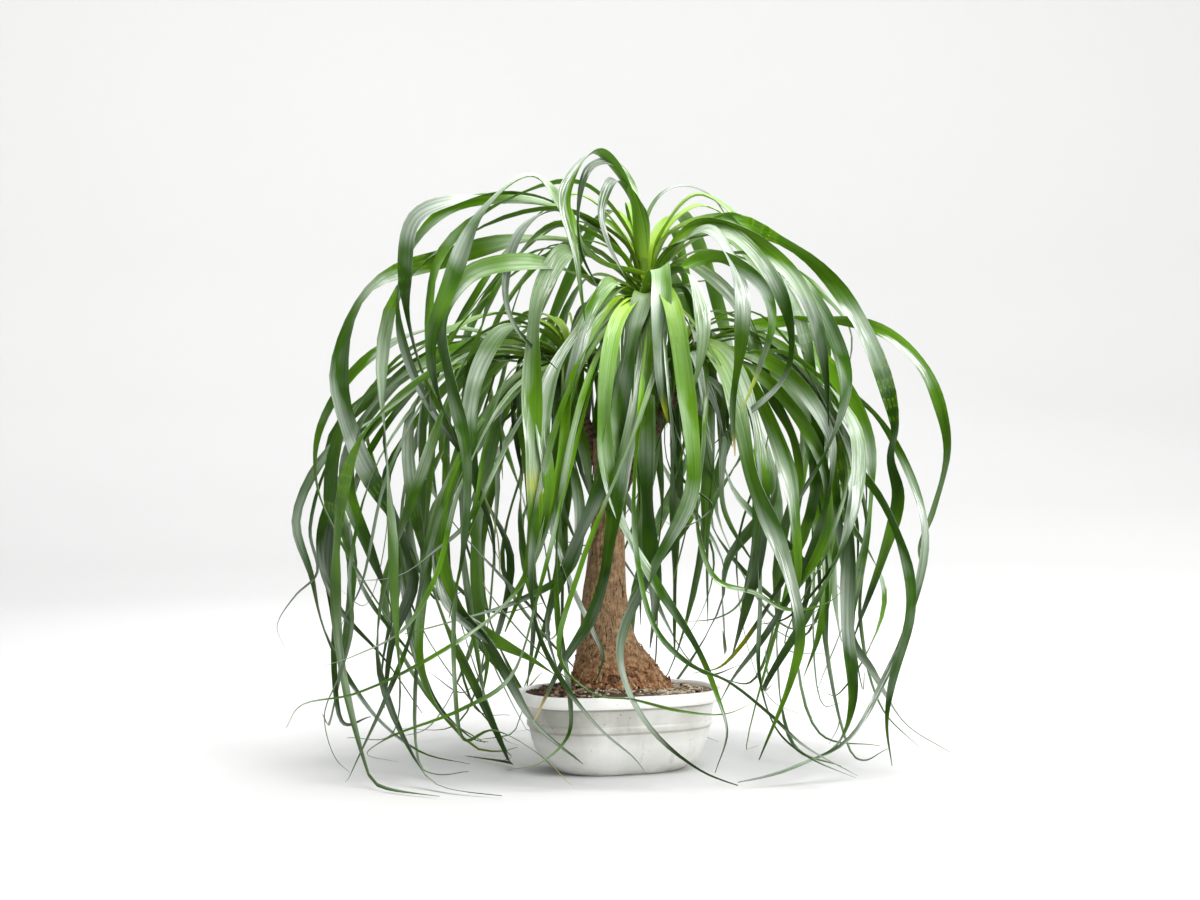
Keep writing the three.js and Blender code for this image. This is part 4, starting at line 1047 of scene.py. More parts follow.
def make_pot(look):
    """The pot as one shell, with its drain holes cut out."""
    profile = POT_OUTSIDE + POT_RIM + POT_INSIDE
    rings = [pot_ring(look, height, share) for height, share in profile]
    points = np.concatenate(rings + [[(0, 0, profile[0][0]), (0, 0, profile[-1][0])]])
    faces = ring_faces(len(rings), POT_SECTORS)
    top = (len(rings) - 1) * POT_SECTORS
    faces += fan(0, POT_SECTORS, len(points) - 2, True) + fan(top, POT_SECTORS, len(points) - 1, False)
    pot = make_object("pot_shell", points, faces, [pot_material(look)])
    for hole in range(DRAIN_COUNT):
        cut_hole(pot, look.turn + (hole + 0.5) * 2 * math.pi / DRAIN_COUNT)
    pot.data.set_sharp_from_angle(angle=math.radians(40))
    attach(pot, BODY)
    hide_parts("pot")


def cut_hole(pot, turn):
    """Cuts one round drain hole through the floor of the pot."""
    bpy.ops.mesh.primitive_cylinder_add(
        vertices=DRAIN_SIDES, radius=DRAIN_RADIUS * MM, depth=DRAIN_CUT * MM,
        location=(DRAIN_REACH * math.cos(turn) * MM, DRAIN_REACH * math.sin(turn) * MM, POT_FLOOR / 2 * MM),
    )
    cutter = bpy.context.object
    cut = pot.modifiers.new("drain", "BOOLEAN")
    cut.object = cutter
    cut.operation = "DIFFERENCE"
    bpy.context.view_layer.objects.active = pot
    bpy.ops.object.modifier_apply(modifier="drain")
    bpy.data.objects.remove(cutter)


def trunk_axis(height):
    """Centre along X and radius of the trunk at a height."""
    heights, middles, radii = zip(*TRUNK)
    return float(np.interp(height, heights, middles)), float(np.interp(height, heights, radii))


def base_swell(turn, height):
    """Share by which the foot's lobes widen the trunk."""
    flare = FLARE_DEPTH * clamp((FLARE_TOP - height) / FLARE_SPAN, 0, 1)
    broad, fine = [share * math.cos(count * turn + start) for share, count, start in LOBES]
    return 1 + flare * (broad + fine)


def drawn_out(around, height, size):
    """A place on the bark for noise of some width and height."""
    width, length = size
    return Vector((around.x / width, around.y / width, height / length))


def bark_relief(turn, height, radius):
    """How far the bark stands out, from 0 in a fissure to 1 on a plate, and its depth in millimetres."""
    rough = float(smooth((ROUGH_TOP - height) / ROUGH_FADE))
    around = Vector((math.cos(turn), math.sin(turn), 0)) * radius
    spot = Vector((around.x, around.y, height))

    # Cracks, warts and hollows with rough floors on the swollen base
    cracks = drawn_out(around, height, CRACK_SIZE) + 0.6 * noise.noise_vector(spot / CRACK_WAVE)
    crack = float(smooth(abs(noise.noise(cracks)) / 0.16))
    warts = clamp(0.5 + 0.6 * noise.fractal(spot / WART_SIZE, 0.8, 2.0, 4), 0, 1)
    squashed = Vector((around.x, around.y, height * HOLLOW_SQUASH))
    hollow = noise.noise(squashed / HOLLOW_SIZE) + 0.3 * noise.noise(spot / HOLLOW_EDGE)
    cavity = float(smooth((hollow + 0.46) / 0.24))
    gnarled = (0.25 + 0.3 * crack + 0.45 * warts) * mix((0.4, 1), cavity)

    # Long fissures between the ribs of the stem
    ribs = drawn_out(around, height, RIB_SIZE) + 0.5 * noise.noise_vector(spot / RIB_WAVE)
    fissure = float(smooth(abs(noise.noise(ribs)) / 0.14))
    ribbed = 0.08 + 0.92 * fissure

    relief = mix((ribbed, gnarled), rough)
    swell = SWELL * noise.noise(spot / SWELL_SIZE)
    return relief, mix(BARK_DEPTHS, rough) * (relief - 0.65) + swell - HOLLOW_DEPTH * rough * (1 - cavity)


def make_trunk(look):
    """The trunk with its bark in relief, the end grain of its stump, and its branches."""
    rows = spline(TRUNK, TRUNK_LEVELS)
    points = []
    values = []
    sides = [2 * math.pi * side / TRUNK_SIDES for side in range(TRUNK_SIDES)]
    for height, middle, radius in rows:
        slant = STUMP_SLANT * smooth((height - STUMP_SLANT_START) / STUMP_SLANT_SPAN)
        for turn in sides:
            relief, depth = bark_relief(turn, height, radius)
            reach = radius * base_swell(turn, height) + depth
            cosine, sine = math.cos(turn), math.sin(turn)
            points.append((middle + reach * cosine, reach * sine, height + slant * reach * cosine))
            values.append((relief, 0, 0))
    faces = ring_faces(len(rows), TRUNK_SIDES)
    marks = [0] * len(faces)
    top = add_stump(points, values, faces, marks)
    points.append((rows[0][1], 0, rows[0][0]))
    values.append((STUMP_RELIEF, 0, 0))
    top_cap = fan(top, TRUNK_SIDES, len(points) - 2, False)
    foot_cap = fan(0, TRUNK_SIDES, len(points) - 1, True)
    faces += top_cap + foot_cap
    marks += [1] * len(top_cap) + [0] * len(foot_cap)
    for branch in BRANCHES:
        add_branch(branch, points, values, faces, marks)
    materials = [bark_material(look), stump_material(look)]
    trunk = make_object("trunk_bark", points, faces, materials, marks, sharp=55)
    add_values(trunk, "bark", values)
    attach(trunk, BODY)
    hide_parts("trunk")


def add_stump(points, values, faces, marks):
    """Adds the rings of the stump's end grain and their centre, and gives the place of the last ring."""
    start = len(points) - TRUNK_SIDES
    last = np.array(points[-TRUNK_SIDES:])
    centre = last.mean(0)
    for share, rise in STUMP_RINGS:
        ring = centre + (last - centre) * share
        for point in ring:
            lump = noise.noise(Vector(point) / STUMP_LUMP_SIZE)
            points.append((point[0], point[1], point[2] + rise + STUMP_LUMPS * lump))
            values.append((STUMP_RELIEF, 0, 0))
        added = ring_faces(2, TRUNK_SIDES, start)
        faces += added
        marks += [1] * len(added)
        start += TRUNK_SIDES
    points.append(tuple(centre))
    values.append((STUMP_RELIEF, 0, 0))
    return start


def add_bit(mesh, points, faces, tone):
    """Adds a loose bit of its own tone to a mesh's lists of points, faces and values."""
    all_points, all_faces, all_values = mesh
    start = len(all_points)
    all_points += points.tolist()
    all_faces += [tuple(start + corner for corner in face) for face in faces]
    all_values += [(tone, 0, 0)] * len(points)


def make_flakes(look):
    """Flakes and shreds of loose bark on the swollen base, and pale shreds round its foot."""
    draw = Draws(look.seed)
    points, faces, values = [], [], []
    for _ in range(look.flakes):
        rise = draw(0, 1) ** FLAKE_CROWDING
        height = TRUNK_FOOT + (FLAKE_TOP - TRUNK_FOOT) * rise
        turn = draw(0, 2 * math.pi)
        size = draw(*FLAKE_SIZES) * (1 - 0.6 * rise)
        middle, radius = trunk_axis(height)
        slope = math.atan2(trunk_axis(height - 3)[1] - trunk_axis(height + 3)[1], 6)
        relief, depth = bark_relief(turn, height, radius)
        reach = radius * base_swell(turn, height) + depth + size * 0.06
        shape, shape_faces = chip_shape(draw, size)
        lean = (draw(-0.3, 0.3), math.pi / 2 - slope + draw(-0.45, 0.2), draw(-0.7, 0.7))
        turned = shape @ rotation(lean).T @ rotation((0, 0, turn)).T
        turned += (middle + reach * math.cos(turn), reach * math.sin(turn), height)
        low = clamp((FLAKE_PALE - height) / FLAKE_PALE_SPAN, 0, 1)
        tone = clamp(draw(0.0, 0.62) + 0.35 * low * draw(0, 1) + 0.2 * (relief - 0.5), 0, 1)
        add_bit((points, faces, values), turned, shape_faces, tone)
    flakes = make_object("trunk_flakes", points, faces, [flake_material(look)], sharp=50)
    add_values(flakes, "chip", values)
    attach(flakes, BODY)


def add_branch(marks, points, values, faces, kinds):
    """Adds a limb ringed with the scars of fallen leaves to the trunk's lists."""
    line = spline(marks, BRANCH_STEPS)
    forward = np.gradient(line[:, :3], axis=0)
    forward /= np.linalg.norm(forward, axis=1)[:, None]
    lengths = np.concatenate([[0], np.cumsum(np.linalg.norm(np.diff(line[:, :3], axis=0), axis=1))])
    sideways = np.array([0.0, 1.0, 0.0])
    start = len(points)
    for step in range(BRANCH_STEPS + 1):
        sideways = sideways - forward[step] * (sideways @ forward[step])
        sideways /= np.linalg.norm(sideways)
        across = np.cross(forward[step], sideways)
        scar = (lengths[step] / SCAR_SPACING) % 1
        for side in range(BRANCH_SIDES):
            turn = 2 * math.pi * side / BRANCH_SIDES
            spot = Vector((math.cos(turn) * 3, math.sin(turn) * 3, lengths[step] / 5))
            ring = SCAR_RISE * (1 - scar) ** 2 + BRANCH_LUMPS * noise.noise(spot)
            reach = line[step, 3] + ring - 0.2
            point = line[step, :3] + reach * (math.cos(turn) * sideways + math.sin(turn) * across)
            relief = 0.25 + 0.75 * clamp(1 - scar * 1.3 + noise.noise(spot), 0, 1)
            points.append(tuple(point))
            values.append((relief, 0, BRANCH_PAINTED_SHADE))
    added = ring_faces(BRANCH_STEPS + 1, BRANCH_SIDES, start)
    points += [tuple(line[0, :3]), tuple(line[-1, :3])]
    values += [(0.5, 0, BRANCH_PAINTED_SHADE)] * 2
    last = start + BRANCH_STEPS * BRANCH_SIDES
    added += fan(start, BRANCH_SIDES, len(points) - 2, True) + fan(last, BRANCH_SIDES, len(points) - 1, False)
    faces += added
    kinds += [0] * len(added)


def outline_share(pot, x, y):
    """How far out from the middle a place lies, as a share of the rim's outline."""
    cosine, sine = math.cos(pot.turn), math.sin(pot.turn)
    along = (x * cosine + y * sine) * MM / (pot.length / 2)
    across = (y * cosine - x * sine) * MM / (pot.width / 2)
    return (abs(along) ** POT_SQUARENESS + abs(across) ** POT_SQUARENESS) ** (1 / POT_SQUARENESS)


def soil_height(look, x, y):
    """Height of the soil's surface, with its heap round the trunk, lumps and crumbs, in millimetres."""
    away = max(math.hypot(x, y) - SOIL_RADIUS, 0)
    side = clamp(HEAP_MIDDLE - HEAP_TILT * x / SOIL_RADIUS, *HEAP_SHARES)
    first, second, third = LUMP_WAVES
    waves = 0.6 * math.sin(x / first + 1) * math.cos(y / second) + 0.4 * math.sin((x + y) / third + 2)
    crumbs = CRUMBS * noise.fractal(Vector((x, y, 0)) / CRUMB_SIZE, 0.8, 2.0, 5)
    heaped = (look.level + look.heap * side * math.exp(-away / HEAP_SPREAD)) / MM
    return heaped + LUMP_SHARE * (LUMPS * waves) + crumbs


def inside_share(height):
    """Share of the rim's half size that the pot's inside has at a height."""
    heights, shares = zip(*sorted(POT_RIM[-1:] + POT_INSIDE))
    return float(np.interp(height, heights, shares))


def make_soil(look, pot):
    """The soil as one closed piece that fills the pot up to its crumbly surface."""
    level = look.level / MM
    levels = (*SOIL_LEVELS, level - 3)
    rings = [pot_ring(pot, height, inside_share(height), SOIL_GAP, SOIL_SECTORS) for height in levels]
    edge = pot_ring(pot, level, inside_share(level), SOIL_GAP, SOIL_SECTORS)
    for share in np.linspace(1, SOIL_MIDDLE, SOIL_RINGS):
        ring = edge * (share, share, 1)
        drop = SOIL_EDGE_DROP if share == 1 else 0
        ring[:, 2] = [soil_height(look, x, y) - drop for x, y, _ in ring]
        rings.append(ring)
    points = np.concatenate(rings + [[(0, 0, SOIL_LEVELS[0]), (0, 0, level)]])
    faces = ring_faces(len(rings), SOIL_SECTORS)
    last = (len(rings) - 1) * SOIL_SECTORS
    faces += fan(0, SOIL_SECTORS, len(points) - 2, True) + fan(last, SOIL_SECTORS, len(points) - 1, False)
    soil = make_object("soil_mix", points, faces, [soil_material(look)], sharp=180)
    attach(soil, BODY)
    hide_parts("soil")


def split_chip(draw, size):
    """A flat chip with six uneven corners, as points round the origin and faces."""
    long, wide, thick = size * draw(1.2, 2.6), size * draw(0.5, 1.0), size * draw(0.15, 0.4)
    skew = draw(-0.3, 0.3)
    corners = ((-1, -0.7), (0.2, -1), (1, -0.4), (0.8, 0.8), (-0.3, 1), (-1.1, 0.4))
    points = [
        (x * long / 2 + skew * y * wide, y * wide / 2 * draw(0.5, 1.1), z * thick / 2 * draw(0.6, 1.2))
        for z in (-1, 1) for x, y in corners
    ]
    faces = ring_faces(2, len(corners))
    faces += [tuple(range(len(corners)))[::-1], tuple(range(len(corners), 2 * len(corners)))]
    return np.array(points), faces


def round_grain(draw, size):
    """A rounded, uneven grain of grit, as points round the origin and faces."""
    levels, sides = (-0.62, 0.0, 0.62), 7
    stretch = np.array([draw(0.7, 1.2), draw(0.7, 1.2), draw(0.5, 0.9)]) * size / 2
    points = [(0, 0, -1)]
    for level in levels:
        reach = math.sqrt(1 - level * level)
        for side in range(sides):
            turn = 2 * math.pi * (side + 0.5 * (level == 0)) / sides
            bulge = draw(0.85, 1.12)
            points.append((reach * bulge * math.cos(turn), reach * bulge * math.sin(turn), level))
    points.append((0, 0, 1))
    faces = ring_faces(len(levels), sides, 1)
    faces += fan(1, sides, 0, True) + fan(1 + (len(levels) - 1) * sides, sides, len(points) - 1, False)
    return np.array(points) * stretch, faces


def chip_shape(draw, size):
    return split_chip(draw, size) if draw(0, 1) < SPLIT_CHIPS else round_grain(draw, size)


def make_chips(look, pot):
    """Chips and grit strewn over the soil round the trunk, paler towards the right and the front."""
    draw = Draws(look.seed)
    points, faces, values = [], [], []
    edge = inside_share(look.level / MM)
    count = 0
    while count < look.chips:
        x = draw(-1, 1) * pot.length / 2 / MM
        y = draw(-1, 1) * pot.length / 2 / MM
        size = draw(*CHIP_SIZES[0]) if draw(0, 1) < SMALL_CHIPS else draw(*CHIP_SIZES[1])
        tone = draw(0, 1)
        lean = [draw(-CHIP_LEAN, CHIP_LEAN), draw(-CHIP_LEAN, CHIP_LEAN), draw(0, 6.3)]
        room = edge - (size * 1.4 + 1) * MM / (pot.width / 2)
        if outline_share(pot, x, y) > room or math.hypot(x, y) < CHIP_CLEARANCE:
            continue
        shape, shape_faces = chip_shape(draw, size)
        turned = shape @ rotation(lean).T
        turned += (x, y, soil_height(look, x, y) + size * 0.12)
        pale = clamp(0.85 + x / 110 - y / 200, 0.12, 1.3)
        add_bit((points, faces, values), turned, shape_faces, clamp(tone * pale * 1.5, 0, 1))
        count += 1
    chips = make_object("soil_chips", points, faces, [chip_material(look)], sharp=50)
    add_values(chips, "chip", values)
    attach(chips, BODY)


def rotation(angles):
    """Turning matrix for angles about X, Y and Z in radians."""
    (cx, cy, cz), (sx, sy, sz) = np.cos(angles), np.sin(angles)
    about_x = np.array([[1, 0, 0], [0, cx, -sx], [0, sx, cx]])
    about_y = np.array([[cy, 0, sy], [0, 1, 0], [-sy, 0, cy]])
    about_z = np.array([[cz, -sz, 0], [sz, cz, 0], [0, 0, 1]])
    return about_z @ about_y @ about_x


def seen(x, y, z):
    """The place at depth y that is seen from the view point at x and z of the plane y = 0."""
    share = 1 - y / VIEW_POINT[1]
    return (VIEW_POINT[0] + (x - VIEW_POINT[0]) * share, y, VIEW_POINT[2] + (z - VIEW_POINT[2]) * share)


def shown_leaves(table):
    """Leaves placed one by one, as width, twist, taper, whether they are turned to face the front, and marks.
    """
    return [
        (width, twist, taper, True, [seen(*mark) for mark in marks]) for width, twist, taper, *marks in table
    ]


def placed(head, azimuth, marks):
    """Marks given as distance out, height and distance aside, as places round a head."""
    x, y, _ = head["at"]
    cosine, sine = math.cos(azimuth), math.sin(azimuth)
    return [(x + out * cosine - side * sine, y + out * sine + side * cosine, up) for out, up, side in marks]


def ruled_leaves(head, count, full):
    """Leaves by rule: the youngest rise high in the middle, the oldest spread low and hang far out. Of those
    past the full count, some are slim."""
    draw = Draws(head["seed"])
    leaves = []
    for index in range(1, count + 1):
        age = index * GOLDEN_AGE % 1
        turn = index * GOLDEN_TURN % 1
        azimuth = math.radians(head["azimuth"] + head["reach"] * (2 * turn - 1) + draw(-7, 7))
        lift = math.radians(mix(head["lift"], age) + draw(-7, 7))
        top = head["at"][2] + mix(head["up"], age) + draw(-12, 14)
        out = mix(head["out"], age) + draw(-15, 24)
        far = out + draw(*head["beyond"])
        hang = top - draw(*head["drop"])
        low = draw(*head["low"])
        knee = far + draw(-8, 22)
        end = far + draw(-110, 40)
        knee_height = mix((hang, low), draw(0.42, 0.6))
        bend = 1 if draw(-1, 1) > 0 else -1
        hang_side = bend * draw(-25, 5)
        knee_side = bend * draw(15, 75)
        end_side = knee_side - bend * draw(20, 110)
        tip = end + draw(-50, 40)
        tip_height = low + draw(-30, 30)
        tip_side = end_side - bend * draw(5, 70)
        width = draw(*LEAF_WIDTHS)
        twist = draw(*LEAF_TWISTS)
        if index > full and index * GOLDEN_AGE * 7 % 1 < SLIM_SHARE:
            width *= SLIM_WIDTH
        root = root_height(head, top)
        first = root + min(FIRST_REACH * math.sin(lift), max((top - root) * FIRST_RISE, 0))
        marks = [
            (ROOT_OUT + FIRST_REACH * math.cos(lift), first, 0), (out, top, 0), (far, hang, hang_side),
            (knee, knee_height, knee_side), (end, low, end_side), (tip, tip_height, tip_side),
        ]
        leaves.append((width, twist, RULED_TAPER, False, placed(head, azimuth, marks)))
    return leaves


def inner_leaves(head, count):
    """Old leaves that hang close round the limb under a head and hide it, shortest at the front."""
    draw = Draws(head["seed"] + INNER_SEED)
    leaves = []
    for index in range(1, count + 1):
        azimuth = 2 * math.pi * (index * GOLDEN_TURN % 1) + draw(-0.2, 0.2)
        out = draw(*head["inner_out"])
        top = head["at"][2] + draw(2, 26)
        low = top - draw(*head["inner_fall"]) * mix((INNER_FRONT, 1), (1 + math.sin(azimuth)) / 2)
        side = draw(-22, 22)
        far = out + draw(2, 26)
        marks = [
            (out * 0.5, top - 3, 0), (out, top, 0), (far, mix((top, low), 0.35), side * 0.3),
            (far + draw(-10, 12), mix((top, low), 0.7), side),
            (far + draw(-24, 26), low, side * draw(0.2, 2.2)),
        ]
        width, twist = draw(*INNER_WIDTHS), draw(*INNER_TWISTS)
        leaves.append((width, twist, RULED_TAPER, False, placed(head, azimuth, marks)))
    return leaves


def root_height(head, top):
    """Height at which a leaf leaves the head's core, higher for the leaves that rise higher."""
    base = head["at"][2]
    return base + clamp((top - base) * ROOT_RISE, ROOT_LOW, head["core"] * ROOT_TOP_SHARE)


def width_share(along, taper):
    """Share of a leaf's width at a share of its length, for a leaf that tapers from some share of it on."""
    base = np.clip(along / BASE_SPAN, 0, 1)
    end = np.clip((along - taper) / (1 - taper), 0, 1)
    return mix((BASE_SHARE, 1), base * (2 - base)) * (1 - end ** (TAPER_BEND + taper)) + TIP_SHARE


def lengths_along(line):
    return np.concatenate([[0], np.cumsum(np.linalg.norm(np.diff(line, axis=0), axis=1))])


def leaf_line(head, leaf, turn, steps):
    """Middle line of a leaf from its root in the core to its tip, turned about the head by some degrees."""
    width, _, taper, _, marks = leaf
    x, y, _ = head["at"]
    heading = math.atan2(marks[0][1] - y, marks[0][0] - x)
    root = root_height(head, max(mark[2] for mark in marks))
    places = [(x + ROOT_OUT * math.cos(heading), y + ROOT_OUT * math.sin(heading), root), *marks]
    cosine, sine = math.cos(math.radians(turn)), math.sin(math.radians(turn))
    turned = [
        (x + (a - x) * cosine - (b - y) * sine, y + (a - x) * sine + (b - y) * cosine, up)
        for a, b, up in places
    ]
    line = spline(turned, steps)
    lengths = lengths_along(line)
    floor = FLOOR_CLEARANCE + FLOOR_SOFTNESS + width / 2 * width_share(lengths / lengths[-1], taper)
    sunk = np.minimum(line[:, 2] - floor, 0)
    eased = floor - FLOOR_SOFTNESS + FLOOR_SOFTNESS * np.exp(sunk / FLOOR_SOFTNESS)
    line[:, 2] = np.where(sunk < 0, eased, line[:, 2])
    return line


def is_clear(line, width, pot):
    """Whether a leaf's line keeps off the pot, the trunk and the branches."""
    margin = width / 2 * CLEAR_SHARE
    outer = line[int(len(line) * CLEAR_FROM):]
    rim = 1 + (margin + POT_CLEARANCE) * MM / (pot.width / 2)
    for x, y, z in outer:
        if z < pot.height / MM + POT_HEADROOM and outline_share(pot, x, y) < rim:
            return False
        if z < TRUNK[-1][0] + TRUNK_HEADROOM:
            middle, radius = trunk_axis(z)
            if math.hypot(x - middle, y) < radius * TRUNK_MARGIN + margin + TRUNK_CLEARANCE:
                return False
    for branch in BRANCHES:
        for mark in spline(branch, BRANCH_CHECKS):
            nearest = np.min(np.linalg.norm(outer - mark[:3], axis=1))
            if nearest < mark[3] + margin + BRANCH_CLEARANCE:
                return False
    return True


def clear_turn(head, leaf, pot):
    """The smallest turn at which a leaf keeps clear, or None."""
    turns = [0] + [sign * step * TURN_STEP for step in range(1, TURN_TRIES + 1) for sign in (1, -1)]
    for turn in turns:
        if is_clear(leaf_line(head, leaf, turn, CLEAR_STEPS), leaf[0], pot):
            return turn
    return None


def hides_stump(line):
    """Whether a leaf's line passes before the stump's front."""
    height, middle, radius = TRUNK[-1]
    x, y, z = line.T
    beside = abs(x - middle) < radius + STUMP_SIDE
    level = abs(z - height) < STUMP_WINDOW
    return bool(np.any((y < 0) & beside & level))


def square_to(direction, vector):
    """The part of a vector that is square to a direction, at length 1."""
    part = vector - direction * (vector @ direction)
    return part / np.linalg.norm(part)


def leaf_wear(along, lot, band):
    """How far a leaf has yellowed and dried at shares of its length."""
    chance = lot * 7 % 1
    yellow = smooth((along - YELLOW_START) / YELLOW_SPAN) * (chance < YELLOW_CHANCE)
    if band:
        yellow = np.maximum(yellow, np.exp(-((along - band[0]) / band[1]) ** 2))
    return yellow, smooth((along - DRY_START) / DRY_SPAN) * (lot > 1 - DRY_CHANCE)


def blade_edges(forward, across, leaf, lengths, lot):
    """The way across the blade at each step along it, twisted by the leaf's twist and rolled by its sway."""
    _, twist, _, faces_front, _ = leaf
    along = lengths / lengths[-1]
    flat = []
    for direction in forward:
        across = square_to(direction, across)
        flat.append(across)
    turned = math.radians(twist)
    if faces_front:
        step = round(FACING_SHARE * LEAF_STEPS)
        front = square_to(forward[step], np.array([1.0, 0, 0]))
        turned += math.atan(np.cross(flat[step], front) @ forward[step] / (flat[step] @ front))
    roll = turned * smooth((along - TWIST_START) / (FACING_SPAN if faces_front else TWIST_SPAN))
    sway = math.radians(SWAY) * smooth((along - SWAY_START) / SWAY_SPAN)
    roll += sway * np.sin(lengths / SWAY_LENGTH + lot * LOT_SPREAD)
    return [
        math.cos(angle) * across + math.sin(angle) * np.cross(direction, across)
        for direction, across, angle in zip(forward, flat, roll)
    ]


def leaf_blade(head, leaf, turn, lot, band):
    """Points of one blade, a closed channelled strap, with what its material reads at each point."""
    line = leaf_line(head, leaf, turn, LEAF_STEPS)
    lengths = lengths_along(line)
    along = lengths / lengths[-1]
    forward = np.gradient(line, axis=0)
    forward /= np.linalg.norm(forward, axis=1)[:, None]
    edges = blade_edges(forward, np.cross((0, 0, 1), line[1] - line[0]), leaf, lengths, lot)
    half = leaf[0] / 2 * width_share(along, leaf[2])
    columns = np.array(COLUMNS)
    yellow, dry = leaf_wear(along, lot, band)
    points, blade, life, wear = [], [], [], []
    for step, edge in enumerate(edges):
        above = np.cross(forward[step], edge)
        depth = (CHANNEL + ROOT_CHANNEL * max(0, 1 - along[step] / ROOT_CHANNEL_SPAN)) * half[step]
        wave = RUFFLE * math.sin(lengths[step] / RUFFLE_LENGTH + lot * 7) * min(1, half[step] / RUFFLE_FULL)
        lifted = depth * np.abs(columns) ** CHANNEL_BEND + wave * columns
        full = BLADE_MIDDLE + (BLADE_EDGE - BLADE_MIDDLE) * columns**2
        thick = np.minimum(full, 0.5 * half[step] + 0.1)
        upper = line[step] + np.outer(half[step] * columns, edge) + np.outer(lifted, above)
        lower = upper - np.outer(thick, above)
        points += upper.tolist() + lower[::-1].tolist()
        spread = (half[step] * columns).tolist()
        blade += [(value, lengths[step], lot * LOT_SPREAD) for value in spread + spread[::-1]]
        life += [(along[step], lot, 1)] * len(columns) + [(along[step], lot, 0)] * len(columns)
        wear += [(yellow[step], dry[step], 0)] * 2 * len(columns)
    return points, blade, life, wear


def blade_faces(start):
    """Faces of one blade whose points begin at a place in its mesh."""
    ring = 2 * len(COLUMNS)
    last = start + LEAF_STEPS * ring
    faces = [face[::-1] for face in ring_faces(LEAF_STEPS + 1, ring, start)]
    for column in range(len(COLUMNS) - 1):
        corners = (column, column + 1, ring - 2 - column, ring - 1 - column)
        faces.append(tuple(start + corner for corner in corners))
        faces.append(tuple(last + corner for corner in corners[::-1]))
    return faces


def make_leaves(look, pot, name):
    """All blades of one head: those placed one by one, those by rule, and the inner ones that hide the limb.
    """
    head = HEADS[name]
    leaves = shown_leaves(SHOWN_LEAVES[name] + THREAD_LEAVES[name])
    leaves += ruled_leaves(head, getattr(look, name + "_leaves"), getattr(look, name + "_full"))
    outer = len(leaves)
    leaves += inner_leaves(head, look.inner)
    bands = YELLOW_BANDS.get(name, {})
    points, blade, life, wear, faces = [], [], [], [], []
    for index, leaf in enumerate(leaves):
        turn = clear_turn(head, leaf, pot)
        if turn is None or index >= outer and hides_stump(leaf_line(head, leaf, turn, LEAF_STEPS)):
            continue
        lot = (index + 1) * GOLDEN_AGE * 3 % 1
        # Inner leaves take darker tones, as old leaves and as painted shade inside the crown
        if index >= outer:
            lot = mix(INNER_SHADED_LOTS, lot)
        faces += blade_faces(len(points))
        made = leaf_blade(head, leaf, turn, lot, bands.get(index))
        for values, added in zip((points, blade, life, wear), made):
            values += added
    if not faces:
        raise RuntimeError("no leaf of head " + name + " stands clear")
    material = bpy.data.materials.get("fresh_waxy_leaf") or leaf_material(look)
    blades = make_object("leaves_" + name + "_blades", points, faces, [material], sharp=50)
    add_values(blades, "blade", blade)
    add_values(blades, "life", life)
    add_values(blades, "wear", wear)
    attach(blades, BODY)
    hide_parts("leaves_" + name)


def make_sweep(look):
    """A round pale sweep: a flat floor that curves up into a wall on all sides, open above."""
    points = [(0, 0, 0)]
    for radius, height in SWEEP:
        for side in range(SWEEP_SIDES):
            turn = 2 * math.pi * side / SWEEP_SIDES
            points.append((radius * math.cos(turn) / MM, radius * math.sin(turn) / MM, height / MM))
    faces = [face[::-1] for face in ring_faces(len(SWEEP), SWEEP_SIDES, 1)]
    faces += fan(1, SWEEP_SIDES, 0, False)
    sweep = make_object("studio_sweep", points, faces, [stage_material(look)], sharp=180)


def make_stage(look):
    """The sweep, the daylight, the lamps and the camera."""
    make_sweep(look)
    world = bpy.data.worlds.new("soft_daylight")
    world.use_nodes = True
    background = world.node_tree.nodes["Background"]
    background.inputs["Color"].default_value = look.sky_color
    background.inputs["Strength"].default_value = look.sky_strength
    bpy.context.scene.world = world
    for name, place, target, size, share in LAMPS:
        add_lamp(name, place, target, size, look.panel_power * share)

    camera = bpy.data.cameras.new("view")
    camera.sensor_width = CAMERA_SENSOR
    camera.lens = CAMERA_LENS
    view = bpy.data.objects.new("view", camera)
    view.location = [value * MM for value in CAMERA_AT]
    view.rotation_euler = (math.radians(90), 0, 0)
    bpy.context.scene.collection.objects.link(view)
    bpy.context.scene.camera = view
    bpy.context.scene.view_settings.view_transform = "Standard"


def add_lamp(name, place, target, size, power):
    """A square soft light, in metres."""
    lamp = bpy.data.lights.new(name, "AREA")
    lamp.size = size
    lamp.energy = power
    made = bpy.data.objects.new(name, lamp)
    made.location = place
    aim = Vector(target) - Vector(place)
    made.rotation_euler = aim.to_track_quat("-Z", "Y").to_euler()
    bpy.context.scene.collection.objects.link(made)


def color_property(name, description, default):
    return FloatVectorProperty(
        name=name, description=description, default=linear(default), size=4, min=0, max=1, subtype="COLOR",
    )


def length_property(name, description, default):
    return FloatProperty(name=name, description=description, default=default * MM, min=0, unit="LENGTH")


def count_property(name, description, default):
    return IntProperty(name=name, description=description, default=default, min=0)


def seed_property(description, default):
    return IntProperty(name="Seed", description=description, default=default, min=1)


